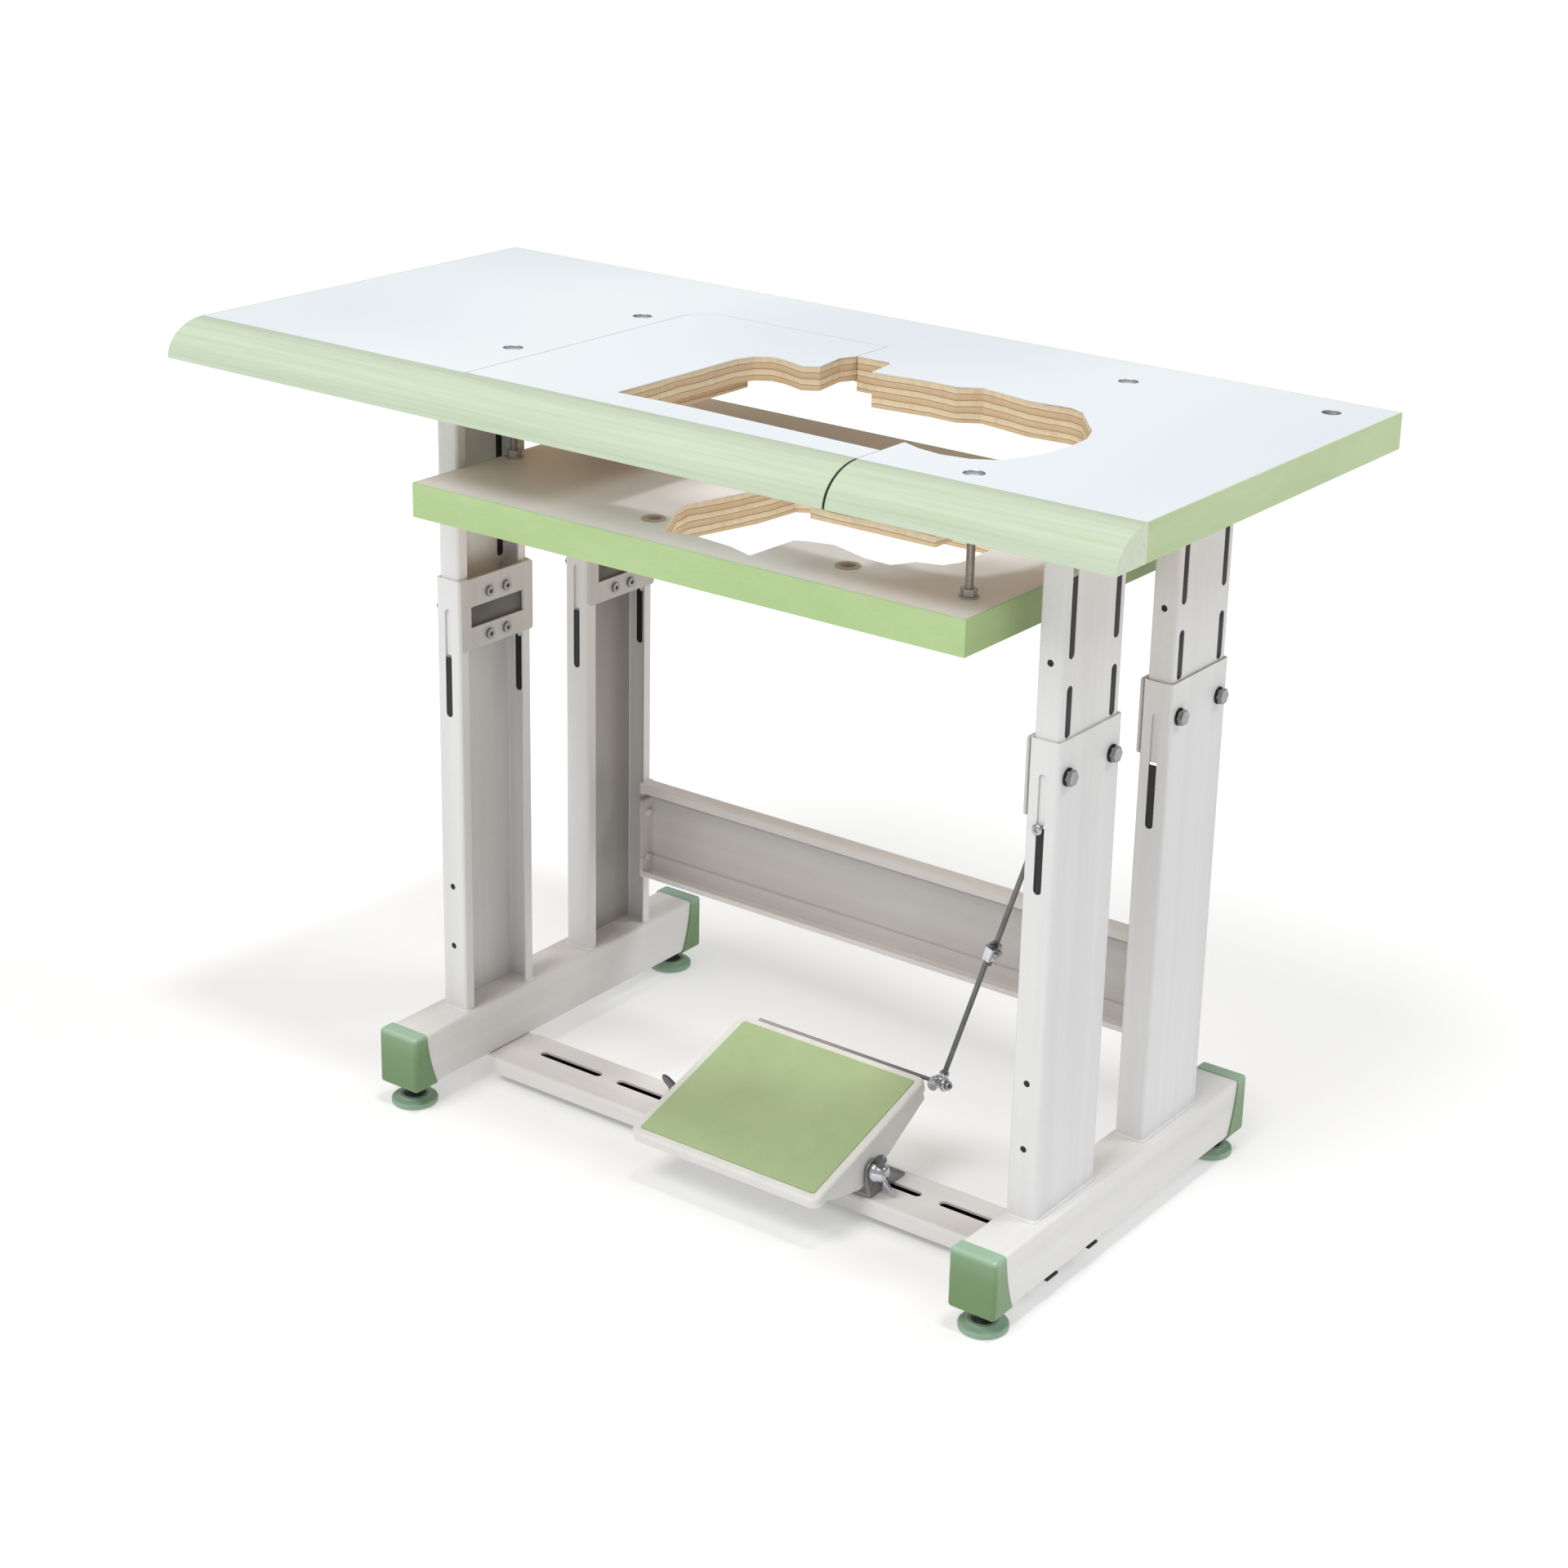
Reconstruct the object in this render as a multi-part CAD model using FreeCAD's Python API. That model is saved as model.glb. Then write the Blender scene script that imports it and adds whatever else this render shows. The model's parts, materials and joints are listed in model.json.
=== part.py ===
import FreeCAD, Part
import math
import os

V = FreeCAD.Vector

# ---------------------------------------------------------------- driving sizes (mm)
# Everything is drawn about the centre of the stand, then moved so that the origin is
# at the middle of the base of the whole box.
SHIFT_X, SHIFT_Y = 90.0, -25.0

# table top
TOP_X0, TOP_X1 = -620.0, 440.0      # 1060 long
TOP_Y0, TOP_Y1 = -225.0, 275.0      # 500 deep
TOP_Z = 750.0                       # working height as set
TOP_T = 34.0                        # board thickness
LAM_T = 1.0                         # laminate sheet
BAND_T = 1.5                        # edge band
RAIL_D = 47.0                       # depth of the rounded front rail
RAIL_Y = TOP_Y0 + RAIL_D
SPLIT_X = 160.0                     # joint in the front rail
LEDGE_T = 10.0                      # lower layer that carries the lift-out panel
SEAM = 1.0                          # gap round the lift-out panel

# lower board
LB_X0, LB_X1 = -323.0, 290.0
LB_Y0, LB_Y1 = -203.0, 226.0
LB_Z0, LB_Z1 = 610.0, 643.0

# legs
COL_X0, COL_X1 = 321.0, 351.0       # lower channel, open side and web
COL_W = 102.0
COL_Y = 94.0                        # channel centre, front and back
COL_T = 2.0
LIP = 12.0
LOW_Z0, LOW_Z1 = 80.0, 532.0
UP_Z0, UP_Z1 = 455.0, 713.0
UP_GAP = 0.4                        # telescoping clearance
BOLT_DY = 36.0
# slots in the back of each inner channel; the clamp bolts sit in the lowest one
UP_SLOTS = ((603.0, 690.0), (533.0, 579.5), (462.0, 527.0))
BOLT_Z = 499.0

# feet
FOOT_X0, FOOT_X1 = 316.0, 362.0
FOOT_Z0, FOOT_Z1 = 24.0, 80.0
FOOT_Y = 218.0
FOOT_T = 2.5
LEV_X, LEV_Y = 339.0, 202.0

# crossbar
BAR_X = 358.0
BAR_Y0, BAR_Y1 = -121.0, -50.0
BAR_Z0, BAR_Z1 = 8.0, 24.0
BAR_T = 2.5
BAR_NOTCH = 307.0
SLOT_Y = -82.0
SLOT_R = 4.8
BAR_SLOTS = [(-277, -198), (-177, -98), (-77, 2), (22, 91), (111, 190), (211, 274)]

# rear beam
BEAM_Y0, BEAM_Y1 = 127.0, 145.0
BEAM_Z0, BEAM_Z1 = 136.0, 243.0
BEAM_T = 1.8
BEAM_LIP = 10.5
BEAM_LIP_LOW = 7.0
BEAM_BY = BEAM_Y1 - 7.8             # line of the end bolts

# pedal
PED_CX = 42.0
PED_W, PED_D = 220.0, 184.0
PED_CY, PED_CZ = -109.5, 82.0       # middle of the top face
PED_TILT = 17.2
PIV_Y, PIV_Z = -112.0, 52.0
EAR_GAP = 1.5

# pitman rod
ROD_R = 2.6
LINK_R = 2.0
ROD_LEAN = 17.7
KNUCKLE_X = 165.0

HANGERS = [(-311.0, -76.0), (-306.0, 109.0), (194.0, 207.0), (258.0, -150.0)]
STAND_HOLE = (391.0, 231.0)
MOUNT_HOLES = [(-82.0, -147.0), (132.0, -147.0), (-82.0, 78.0), (132.0, 78.0)]

# plan outline of the machine opening in the top
CUT_LEFT = [(-130, -141), (-128, 30), (-122, 50), (-108, 60), (-92, 59), (-66, 50), (-52, 60), (-58, 100), (-50, 117)]
CUT_RIGHT = [(-14, 117), (-8, 110), (-4, 76), (58, 83), (86, 82), (106, 95), (134, 90), (163, 84), (205, 88),
             (222, 80), (262, 30), (272, 5), (274, -25), (268, -68), (252, -103), (232, -116), (205, -121), (180, -117), (160, -109)]
CUT_FRONT = [(160, -144), (-58, -138)]
CUT_TOP = CUT_LEFT + CUT_RIGHT + CUT_FRONT
PANEL_BACK = [(-50, 167), (-250, 167), (-264, 163), (-274, 153), (-278, 139)]
PANEL = [(-278, RAIL_Y), (160, RAIL_Y), (160, -144), (-58, -138)] + CUT_LEFT + PANEL_BACK
OPEN_UPPER = [(-278, RAIL_Y - 5), (160, RAIL_Y - 5), (160, -109)] + CUT_RIGHT[::-1][1:] + [(-50, 117)] + PANEL_BACK
OPEN_LOWER = [(-258, RAIL_Y - 5), (142, RAIL_Y - 5), (142, -146), (160, -146), (160, -109)] + CUT_RIGHT[::-1][1:] + \
             [(-50, 117), (-50, 147), (-236, 147), (-252, 141), (-258, 125)]
CUT_LOW = [(-52, -172), (-23, -163), (20, -168), (50, -178), (52, -118), (62, -112), (87, -105), (129, -119), (158, -121),
           (170, -99), (192, -92), (200, -76), (200, 40), (190, 50), (-50, 50), (-64, 42), (-68, -11), (-88, -90), (-84, -112)]


# ---------------------------------------------------------------- helpers
def box(x0, y0, z0, x1, y1, z1):
    return Part.makeBox(x1 - x0, y1 - y0, z1 - z0, V(x0, y0, z0))


def cyl(r, p, d, h):
    return Part.makeCylinder(r, h, V(*p), V(*d))


def prism(pts, z0, z1):
    w = Part.makePolygon([V(x, y, z0) for x, y in pts] + [V(pts[0][0], pts[0][1], z0)])
    return Part.Face(w).extrude(V(0, 0, z1 - z0))


def prism_yz(pts, x0, x1):
    w = Part.makePolygon([V(x0, y, z) for y, z in pts] + [V(x0, pts[0][0], pts[0][1])])
    return Part.Face(w).extrude(V(x1 - x0, 0, 0))


def fuse(shapes):
    s = shapes[0]
    if len(shapes) > 1:
        s = s.multiFuse(shapes[1:])
    return s.removeSplitter()


def cut(s, tools):
    for t in tools:
        s = s.cut(t)
    return s


def mirror(s):
    return s.mirror(V(0, 0, 0), V(1, 0, 0))


def hexa(af, p, d, h):
    # hexagonal prism, width across flats af, along d
    r = af / math.sqrt(3.0)
    pts = [V(r * math.cos(math.radians(60 * i + 30)), r * math.sin(math.radians(60 * i + 30)), 0) for i in range(6)]
    s = Part.Face(Part.makePolygon(pts + [pts[0]])).extrude(V(0, 0, h))
    s.Placement = FreeCAD.Placement(V(*p), FreeCAD.Rotation(V(0, 0, 1), V(*d)))
    return s


def nut(af, bore, p, d, h):
    return hexa(af, p, d, h).cut(cyl(bore, p, d, h))


def washer(r, bore, p, d, h):
    return cyl(r, p, d, h).cut(cyl(bore, p, d, h))


def sheet(pts, t, r):
    # bent sheet section: mid line through pts, thickness t, bend radius r to the mid line
    n = len(pts)
    P = [V(x, y, 0) for x, y in pts]
    d = [(P[i + 1] - P[i]).normalize() for i in range(n - 1)]
    left = [V(-a.y, a.x, 0) for a in d]
    edges = []

    def side(sgn):
        out = []
        cur = P[0] + left[0] * (sgn * t / 2)
        for i in range(1, n - 1):
            turn = d[i - 1].x * d[i].y - d[i - 1].y * d[i].x
            ang = math.acos(max(-1, min(1, d[i - 1].dot(d[i]))))
            tl = r * math.tan(ang / 2)
            a = P[i] - d[i - 1] * tl
            b = P[i] + d[i] * tl
            c = a + left[i - 1] * (r if turn > 0 else -r)
            rr = r - sgn * t / 2 if turn > 0 else r + sgn * t / 2
            a2 = a + left[i - 1] * (sgn * t / 2)
            b2 = b + left[i] * (sgn * t / 2)
            m = (P[i] - c).normalize()
            m2 = c + m * rr
            out.append(Part.LineSegment(cur, a2).toShape())
            out.append(Part.Arc(a2, m2, b2).toShape())
            cur = b2
        last = P[-1] + left[-1] * (sgn * t / 2)
        out.append(Part.LineSegment(cur, last).toShape())
        return out

    edges += side(1)
    edges += side(-1)
    edges.append(Part.LineSegment(P[0] + left[0] * (t / 2), P[0] - left[0] * (t / 2)).toShape())
    edges.append(Part.LineSegment(P[-1] + left[-1] * (t / 2), P[-1] - left[-1] * (t / 2)).toShape())
    w = Part.Wire(Part.__sortEdges__(edges))
    return Part.Face(w)


def slot_y(x, z0, z1, w, y0, y1):
    # upright slot cut through along Y
    r = w / 2
    return fuse([box(x - r, y0, z0 + r, x + r, y1, z1 - r), cyl(r, (x, y0, z0 + r), (0, 1, 0), y1 - y0),
                 cyl(r, (x, y0, z1 - r), (0, 1, 0), y1 - y0)])


def slot_x(y, z0, z1, w, x0, x1):
    # upright slot cut through along X
    r = w / 2
    return fuse([box(x0, y - r, z0 + r, x1, y + r, z1 - r), cyl(r, (x0, y, z0 + r), (1, 0, 0), x1 - x0),
                 cyl(r, (x0, y, z1 - r), (1, 0, 0), x1 - x0)])


os.makedirs("parts", exist_ok=True)


def out(name, shapes):
    if not isinstance(shapes, (list, tuple)):
        shapes = [shapes]
    solids = []
    for s in shapes:
        solids += s.Solids
    c = solids[0].copy() if len(solids) == 1 else Part.makeCompound([s.copy() for s in solids])
    c.translate(V(SHIFT_X, SHIFT_Y, 0))
    ok = all(s.isValid() for s in c.Solids)
    c.exportStep("parts/%s.step" % name)
    print(name, len(c.Solids), "ok" if ok else "INVALID", round(c.Volume / 1000.0, 2), "cm3")


SIDES = (("left", -1), ("right", 1))
ENDS = (("front", -1), ("rear", 1))


def both(s, sgn):
    return mirror(s) if sgn < 0 else s


# ---------------------------------------------------------------- feet
def foot():
    s = box(FOOT_X0, -FOOT_Y, FOOT_Z0, FOOT_X1, FOOT_Y, FOOT_Z1)
    edges = [e for e in s.Edges if abs(e.Vertexes[0].Point.y - e.Vertexes[1].Point.y) > 1]
    s = s.makeFillet(3.0, edges)
    t = FOOT_T
    s = s.cut(box(FOOT_X0 + t, -FOOT_Y - 1, FOOT_Z0 + t, FOOT_X1 - t, FOOT_Y + 1, FOOT_Z1 - t))
    tools = [cyl(5.1, (LEV_X, sy * LEV_Y, FOOT_Z0 - 1), (0, 0, 1), t + 2) for sy in (-1, 1)]
    tools += [cyl(4.2, (LEV_X, y, FOOT_Z0 - 1), (0, 0, 1), t + 2) for y in (-104, -68)]
    return cut(s, tools)


for nm, sg in SIDES:
    out("foot_beam_" + nm, both(foot(), sg))


def cap():
    # front cap of the right foot: a socket over the tube end, its rear edge hollowed on the sides
    o = 1.6
    s = box(FOOT_X0 - o, -225, FOOT_Z0 - o, FOOT_X1 + o, -174, FOOT_Z1 + o)
    edges = [e for e in s.Edges if min(e.Vertexes[0].Point.y, e.Vertexes[1].Point.y) < -220]
    s = s.makeFillet(4.0, edges)
    hole = box(FOOT_X0, -FOOT_Y, FOOT_Z0, FOOT_X1, -170, FOOT_Z1)
    hedges = [e for e in hole.Edges if abs(e.Vertexes[0].Point.y - e.Vertexes[1].Point.y) > 1]
    s = s.cut(hole.makeFillet(3.0, hedges))
    s = s.cut(cyl(177.0, (FOOT_X0 - 10, -31.7, 94.4), (1, 0, 0), 70))
    s = s.cut(cyl(5.1, (LEV_X, -LEV_Y, FOOT_Z0 - 4), (0, 0, 1), 6))
    return s


caps = []
for nm, sg in SIDES:
    for en, se in ENDS:
        c = both(cap(), sg)
        if se > 0:
            c = c.mirror(V(0, 0, 0), V(0, 1, 0))
        caps.append(c)
out("foot_end_caps", caps)


def leveller(x, y):
    pts = [(0, 0), (22, 0), (23, 1.2), (23, 5.0), (21, 7.0), (12, 9.5), (9.5, 12.5), (9.5, 14.0), (5.0, 14.0), (5.0, 58.0), (4.2, 59.0), (0, 59.0)]
    w = Part.makePolygon([V(a, 0, b) for a, b in pts] + [V(0, 0, 0)])
    s = Part.Face(w).revolve(V(0, 0, 0), V(0, 0, 1), 360)
    s.translate(V(x, y, 0))
    return s


locks = []
for nm, sg in SIDES:
    for en, se in ENDS:
        out("leveller_%s_%s" % (en, nm), leveller(sg * LEV_X, se * LEV_Y))
        locks.append(nut(17.0, 5.1, (sg * LEV_X, se * LEV_Y, 15.4), (0, 0, 1), 7.0))
out("leveller_locknuts", locks)


# ---------------------------------------------------------------- columns
def channel(x0, x1, yc, w, t, z0, z1):
    h = t / 2
    face = sheet([(x0 + h, yc - w / 2 + LIP), (x0 + h, yc - w / 2 + h), (x1 - h, yc - w / 2 + h),
                  (x1 - h, yc + w / 2 - h), (x0 + h, yc + w / 2 - h), (x0 + h, yc + w / 2 - LIP)], t, 2.6)
    face.translate(V(0, 0, z0))
    return face.extrude(V(0, 0, z1 - z0))


def lower_column(yc):
    s = channel(COL_X0, COL_X1, yc, COL_W, COL_T, LOW_Z0, LOW_Z1)
    y0, y1 = yc - COL_W / 2 - 5, yc + COL_W / 2 + 5
    tools = [slot_y(336, 392, 502, 8.0, y0, y1)]
    if yc < 0:
        tools += [cyl(3.2, (336, y0, z), (0, 1, 0), 20) for z in (213, 149)]
    tools += [cyl(4.3, (340, yc + s2 * BOLT_DY, BOLT_Z), (1, 0, 0), 20) for s2 in (-1, 1)]
    if yc > 0:
        tools += [cyl(2.1, (315, BEAM_BY, z), (1, 0, 0), 15) for z in (157, 208)]
    return cut(s, tools)


def upper_column(yc):
    x0, x1 = COL_X0 + COL_T + UP_GAP, COL_X1 - COL_T - UP_GAP
    w = COL_W - 2 * COL_T - 2 * UP_GAP
    s = channel(x0, x1, yc, w, COL_T, UP_Z0, UP_Z1)
    tools = []
    for s2 in (-1, 1):
        for z0, z1 in UP_SLOTS:
            tools.append(slot_x(yc + s2 * BOLT_DY, z0, z1, 9.0, 340, 360))
    tools.append(cyl(3.2, (336, yc - 60, 600), (0, 1, 0), 120))
    return cut(s, tools)


def clamp_plate(yc):
    s = box(COL_X0 - 2.5, yc - 51, 461, COL_X0, yc + 51, 532)
    e = [e for e in s.Edges if abs(e.Vertexes[0].Point.x - e.Vertexes[1].Point.x) > 1]
    s = s.makeFillet(3.0, e)
    tools = [box(310, yc - 37, 483, 330, yc + 37, 504)]
    tools += [cyl(3.1, (310, yc + dy, z), (1, 0, 0), 20) for dy in (-12, 12) for z in (515, 472)]
    return cut(s, tools)


def nut_strips(yc):
    o = []
    for z0, z1, zc in ((507, 526, 515), (463, 481, 472)):
        s = box(COL_X0, yc - 24, z0, COL_X0 + 4, yc + 24, z1)
        o.append(cut(s, [cyl(3.0, (310, yc + dy, zc), (1, 0, 0), 30) for dy in (-12, 12)]))
    return o


def plate_screw(y, z):
    # low socket head, shank through the plate into the strip
    xh = COL_X0 - 2.5
    s = fuse([cyl(5.2, (xh - 3.0, y, z), (1, 0, 0), 3.0), cyl(3.0, (xh, y, z), (1, 0, 0), 9.0)])
    return s.cut(hexa(4.0, (xh - 3.1, y, z), (1, 0, 0), 2.0))


plates, strips, pscrews, cbolts, cwash, cnuts = [], [], [], [], [], []
xw = COL_X1
xin = COL_X1 - COL_T - UP_GAP - COL_T
for nm, sg in SIDES:
    for en, se in ENDS:
        yc = se * COL_Y
        out("lower_column_%s_%s" % (en, nm), both(lower_column(yc), sg))
        out("upper_column_%s_%s" % (en, nm), both(upper_column(yc), sg))
        plates.append(both(clamp_plate(yc), sg))
        strips += [both(s, sg) for s in nut_strips(yc)]
        for dy in (-12, 12):
            for z in (515, 472):
                pscrews.append(both(plate_screw(yc + dy, z), sg))
        for s2 in (-1, 1):
            y = yc + s2 * BOLT_DY
            b = fuse([hexa(13.0, (xw + 1.5, y, BOLT_Z), (1, 0, 0), 5.3), cyl(4.0, (xin - 11.0, y, BOLT_Z), (1, 0, 0), xw + 1.5 - xin + 11.0)])
            cbolts.append(both(b, sg))
            cwash.append(both(washer(8.2, 4.0, (xw, y, BOLT_Z), (1, 0, 0), 1.5), sg))
            cnuts.append(both(nut(13.0, 4.0, (xin - 0.4 - 6.5, y, BOLT_Z), (1, 0, 0), 6.5), sg))
out("clamp_plates", plates)
out("clamp_plate_nut_strips", strips)
out("clamp_plate_screws", pscrews)
out("column_clamp_bolts", cbolts)
out("column_clamp_washers", cwash)
out("column_clamp_nuts", cnuts)

# ---------------------------------------------------------------- rear beam
h = BEAM_T / 2
# section drawn with its height along the first axis and its depth along the second
sec = sheet([(BEAM_Z0 + BEAM_LIP_LOW, BEAM_Y0 + h), (BEAM_Z0 + h, BEAM_Y0 + h), (BEAM_Z0 + h, BEAM_Y1 - h),
             (BEAM_Z1 - h, BEAM_Y1 - h), (BEAM_Z1 - h, BEAM_Y0 + h), (BEAM_Z1 - BEAM_LIP, BEAM_Y0 + h)], BEAM_T, 2.4)
XB = COL_X0 - 2.8
beam = sec.extrude(V(0, 0, 2 * XB))
m = FreeCAD.Matrix(0, 0, 1, -XB, 0, 1, 0, 0, 1, 0, 0, 0, 0, 0, 0, 1)
beam = beam.transformGeometry(m)
ends = []
for sg in (-1, 1):
    p = box(XB, BEAM_Y0, BEAM_Z0, COL_X0, BEAM_Y1, BEAM_Z1)
    p = cut(p, [cyl(2.1, (XB - 1, BEAM_BY, z), (1, 0, 0), 10) for z in (157, 208)])
    ends.append(both(p, sg))
beam = fuse([beam] + ends)
out("rear_beam", beam)
bb = []
for sg in (-1, 1):
    for z in (157, 208):
        b = fuse([cyl(2.0, (XB - 0.5, BEAM_BY, z), (1, 0, 0), 12.0), hexa(7.0, (XB - 2.8, BEAM_BY, z), (1, 0, 0), 2.8)])
        bb.append(both(b, sg))
        bb.append(both(nut(7.0, 2.0, (COL_X0 + COL_T, BEAM_BY, z), (1, 0, 0), 3.2), sg))
out("rear_beam_bolts", bb)

# ---------------------------------------------------------------- crossbar
h = BAR_T / 2
sec = sheet([(BAR_Y0 + h, BAR_Z0), (BAR_Y0 + h, BAR_Z1 - h), (BAR_Y1 - h, BAR_Z1 - h), (BAR_Y1 - h, BAR_Z0)], BAR_T, 3.2)
bar = sec.extrude(V(0, 0, 2 * BAR_X))
bar = bar.transformGeometry(FreeCAD.Matrix(0, 0, 1, -BAR_X, 1, 0, 0, 0, 0, 1, 0, 0, 0, 0, 0, 1))
tools = []
for a, b in BAR_SLOTS:
    r = SLOT_R
    tools.append(fuse([box(a + r, SLOT_Y - r, 15, b - r, SLOT_Y + r, 30), cyl(r, (a + r, SLOT_Y, 15), (0, 0, 1), 15),
                       cyl(r, (b - r, SLOT_Y, 15), (0, 0, 1), 15)]))
for sx in (-1, 1):
    for y in (-104, -68):
        tools.append(cyl(4.2, (sx * LEV_X, y, 15), (0, 0, 1), 15))
    # the flanges stop short of the feet, only the flat goes under
    xs = sorted((sx * BAR_NOTCH, sx * (BAR_X + 5)))
    tools += [box(xs[0], BAR_Y0 - 5, 0, xs[1], BAR_Y0 + 5.5, 40), box(xs[0], BAR_Y1 - 5.5, 0, xs[1], BAR_Y1 + 5, 40)]
bar = cut(bar, tools)
out("pedal_crossbar", bar)
xb = []
for sx in (-1, 1):
    for y in (-104, -68):
        x = sx * LEV_X
        xb.append(fuse([hexa(13.0, (x, y, BAR_Z1 - BAR_T - 5.3), (0, 0, 1), 5.3), cyl(4.0, (x, y, BAR_Z1 - BAR_T), (0, 0, 1), 15.0)]))
        xb.append(nut(13.0, 4.0, (x, y, FOOT_Z0 + FOOT_T), (0, 0, 1), 6.5))
out("crossbar_bolts", xb)

# ---------------------------------------------------------------- pedal brackets and pivots
PX1 = PED_CX + PED_W / 2
PX0 = PED_CX - PED_W / 2
Z0 = BAR_Z1 + 0.4


def bracket():
    # right ear, outside the pedal skirt, foot turned in under the pedal
    xa = PX1 + EAR_GAP
    er = 11.0
    ear = fuse([box(xa, BAR_Y0 + 4, Z0, xa + 3, PIV_Y + er, PIV_Z - 6), box(xa, PIV_Y - er, PIV_Z - 12, xa + 3, PIV_Y + er, PIV_Z),
                prism_yz([(BAR_Y0 + 4, Z0 + 2), (BAR_Y0 + 4, PIV_Z - 6), (PIV_Y - er, PIV_Z - 6)], xa, xa + 3), cyl(er, (xa, PIV_Y, PIV_Z), (1, 0, 0), 3),
                prism_yz([(PIV_Y + er - 1, Z0), (PIV_Y + 46, Z0), (PIV_Y + 46, Z0 + 3), (PIV_Y + er - 1, PIV_Z - 4)], xa, xa + 3)])
    base = box(xa - 36, BAR_Y0 + 4, Z0, xa + 3, BAR_Y1 - 10, Z0 + 3)
    s = fuse([ear, base])
    s = cut(s, [cyl(4.06, (xa - 1, PIV_Y, PIV_Z), (1, 0, 0), 6), cyl(3.3, (xa - 18, SLOT_Y, Z0 - 1), (0, 0, 1), 6)])
    return s, xa


br, xa = bracket()
# left bracket is the right one turned over about the middle of the pedal
flip = lambda s: s.mirror(V(PED_CX, 0, 0), V(1, 0, 0))
out("pedal_bracket_right", br)
out("pedal_bracket_left", flip(br))
pb = []
for f in (lambda s: s, flip):
    x = xa - 18
    pb.append(f(fuse([cyl(3.2, (x, SLOT_Y, 12.0), (0, 0, 1), Z0 + 3 - 12.0), hexa(10.0, (x, SLOT_Y, Z0 + 3), (0, 0, 1), 4.2)])))
    pb.append(f(nut(15.0, 3.2, (x, SLOT_Y, 15.7), (0, 0, 1), 5.4)))
out("pedal_bracket_bolts", pb)


def wing_bolt():
    # wing screw: shank through ear and skirt, round hub, two raised wings
    x = xa + 3
    hub = [(0, 0.3), (7.6, 0.3), (8.8, 1.6), (8.8, 5.0), (7.0, 8.0), (5.6, 13.0), (4.4, 14.5), (0, 14.5)]
    w = Part.makePolygon([V(a, 0, b) for a, b in hub] + [V(0, 0, 0.3)])
    s = Part.Face(w).revolve(V(0, 0, 0), V(0, 0, 1), 360)
    wing = prism_yz([(-25.0, 13.0), (-23.5, 18.0), (-17.0, 18.0), (-6.0, 9.0), (6.0, 9.0), (17.0, 18.0), (23.5, 18.0), (25.0, 13.0), (18.0, 4.5), (8.0, 2.0), (-8.0, 2.0), (-18.0, 4.5)], -1.8, 1.8)
    s = fuse([s, wing, cyl(4.0, (0, 0, -13.0), (0, 0, 1), 14.0)])
    s.rotate(V(0, 0, 0), V(0, 0, 1), -72)
    s.rotate(V(0, 0, 0), V(0, 1, 0), 90)
    s.translate(V(x, PIV_Y, PIV_Z))
    return s


out("pedal_wing_bolt_right", wing_bolt())
out("pedal_wing_bolt_left", flip(wing_bolt()))


# ---------------------------------------------------------------- pedal
def rounded(x0, y0, x1, y1, r, z0, z1):
    s = box(x0, y0, z0, x1, y1, z1)
    e = [e for e in s.Edges if abs(e.Vertexes[0].Point.z - e.Vertexes[1].Point.z) > 0.1]
    return s.makeFillet(r, e)


th = math.radians(PED_TILT)
dy, dz = PIV_Y - PED_CY, PIV_Z - PED_CZ
PU = dy * math.cos(th) + dz * math.sin(th)
PW = -dy * math.sin(th) + dz * math.cos(th)
hw, hd = PED_W / 2, PED_D / 2


def place(s):
    s.rotate(V(0, 0, 0), V(1, 0, 0), PED_TILT)
    s.translate(V(PED_CX, PED_CY, PED_CZ))
    return s


plate = rounded(-hw, -hd, hw, hd, 9, -11, 0)
e = [e for e in plate.Edges if all(abs(v.Point.z) < 1e-6 for v in e.Vertexes)]
plate = plate.makeFillet(3.0, e)
plate = plate.cut(rounded(-hw + 8, -hd + 8, hw - 8, hd - 8, 3, -4, 1))
plate = plate.cut(rounded(-hw + 4, -hd + 4, hw - 4, hd - 4, 5, -12, -7))
skirt_pts = [(-80, -9), (-64, -20), (-30, -38), (6, -38), (24, -33), (hd - 9, -19), (hd - 9, -9)]
skirts = []
for sg in (-1, 1):
    a = prism_yz(skirt_pts, hw - 4, hw)
    boss = cyl(9.5, (hw - 9, PU, PW), (1, 0, 0), 9)
    s = fuse([a, boss])
    skirts.append(s if sg > 0 else mirror(s))
lugs = []
BU, BW = hd + 3.0, -4.0
for x in (-84, -40, 4, 46, 84):
    # half-round cradles under the bar
    c = fuse([box(x - 4, hd - 5, -7.4, x + 4, BU, BW), cyl(3.4, (x - 4, BU, BW), (1, 0, 0), 8)])
    lugs.append(c.cut(box(x - 6, hd - 0.2, BW - 0.4, x + 6, BU + 10, BW + 10)).cut(box(x - 6, hd - 6, BW, x + 6, BU + 10, BW + 10)))
ped = fuse([plate] + skirts + lugs)
ped = cut(ped, [cyl(4.06, (-hw - 20, PU, PW), (1, 0, 0), 2 * hw + 40), cyl(LINK_R, (-100, BU, BW), (1, 0, 0), 210)])
out("pedal_frame", place(ped))

mat = rounded(-hw + 8.3, -hd + 8.3, hw - 8.3, hd - 8.3, 2.7, -4, 0.6)
out("pedal_mat", place(mat))

tie = cyl(LINK_R, (-92, BU, BW), (1, 0, 0), KNUCKLE_X - PED_CX + 92 + 12)
out("pedal_link_bar", place(tie))
KY = PED_CY + BU * math.cos(th) - BW * math.sin(th)
KZ = PED_CZ + BU * math.sin(th) + BW * math.cos(th)
ring = fuse([washer(4.4, LINK_R, (KNUCKLE_X + 7.6, KY, KZ), (1, 0, 0), 2.4), washer(4.4, LINK_R, (KNUCKLE_X - 10.0, KY, KZ), (1, 0, 0), 2.4)])
out("link_bar_collars", ring)

# ---------------------------------------------------------------- pitman rod
K = V(KNUCKLE_X, KY, KZ)


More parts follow.
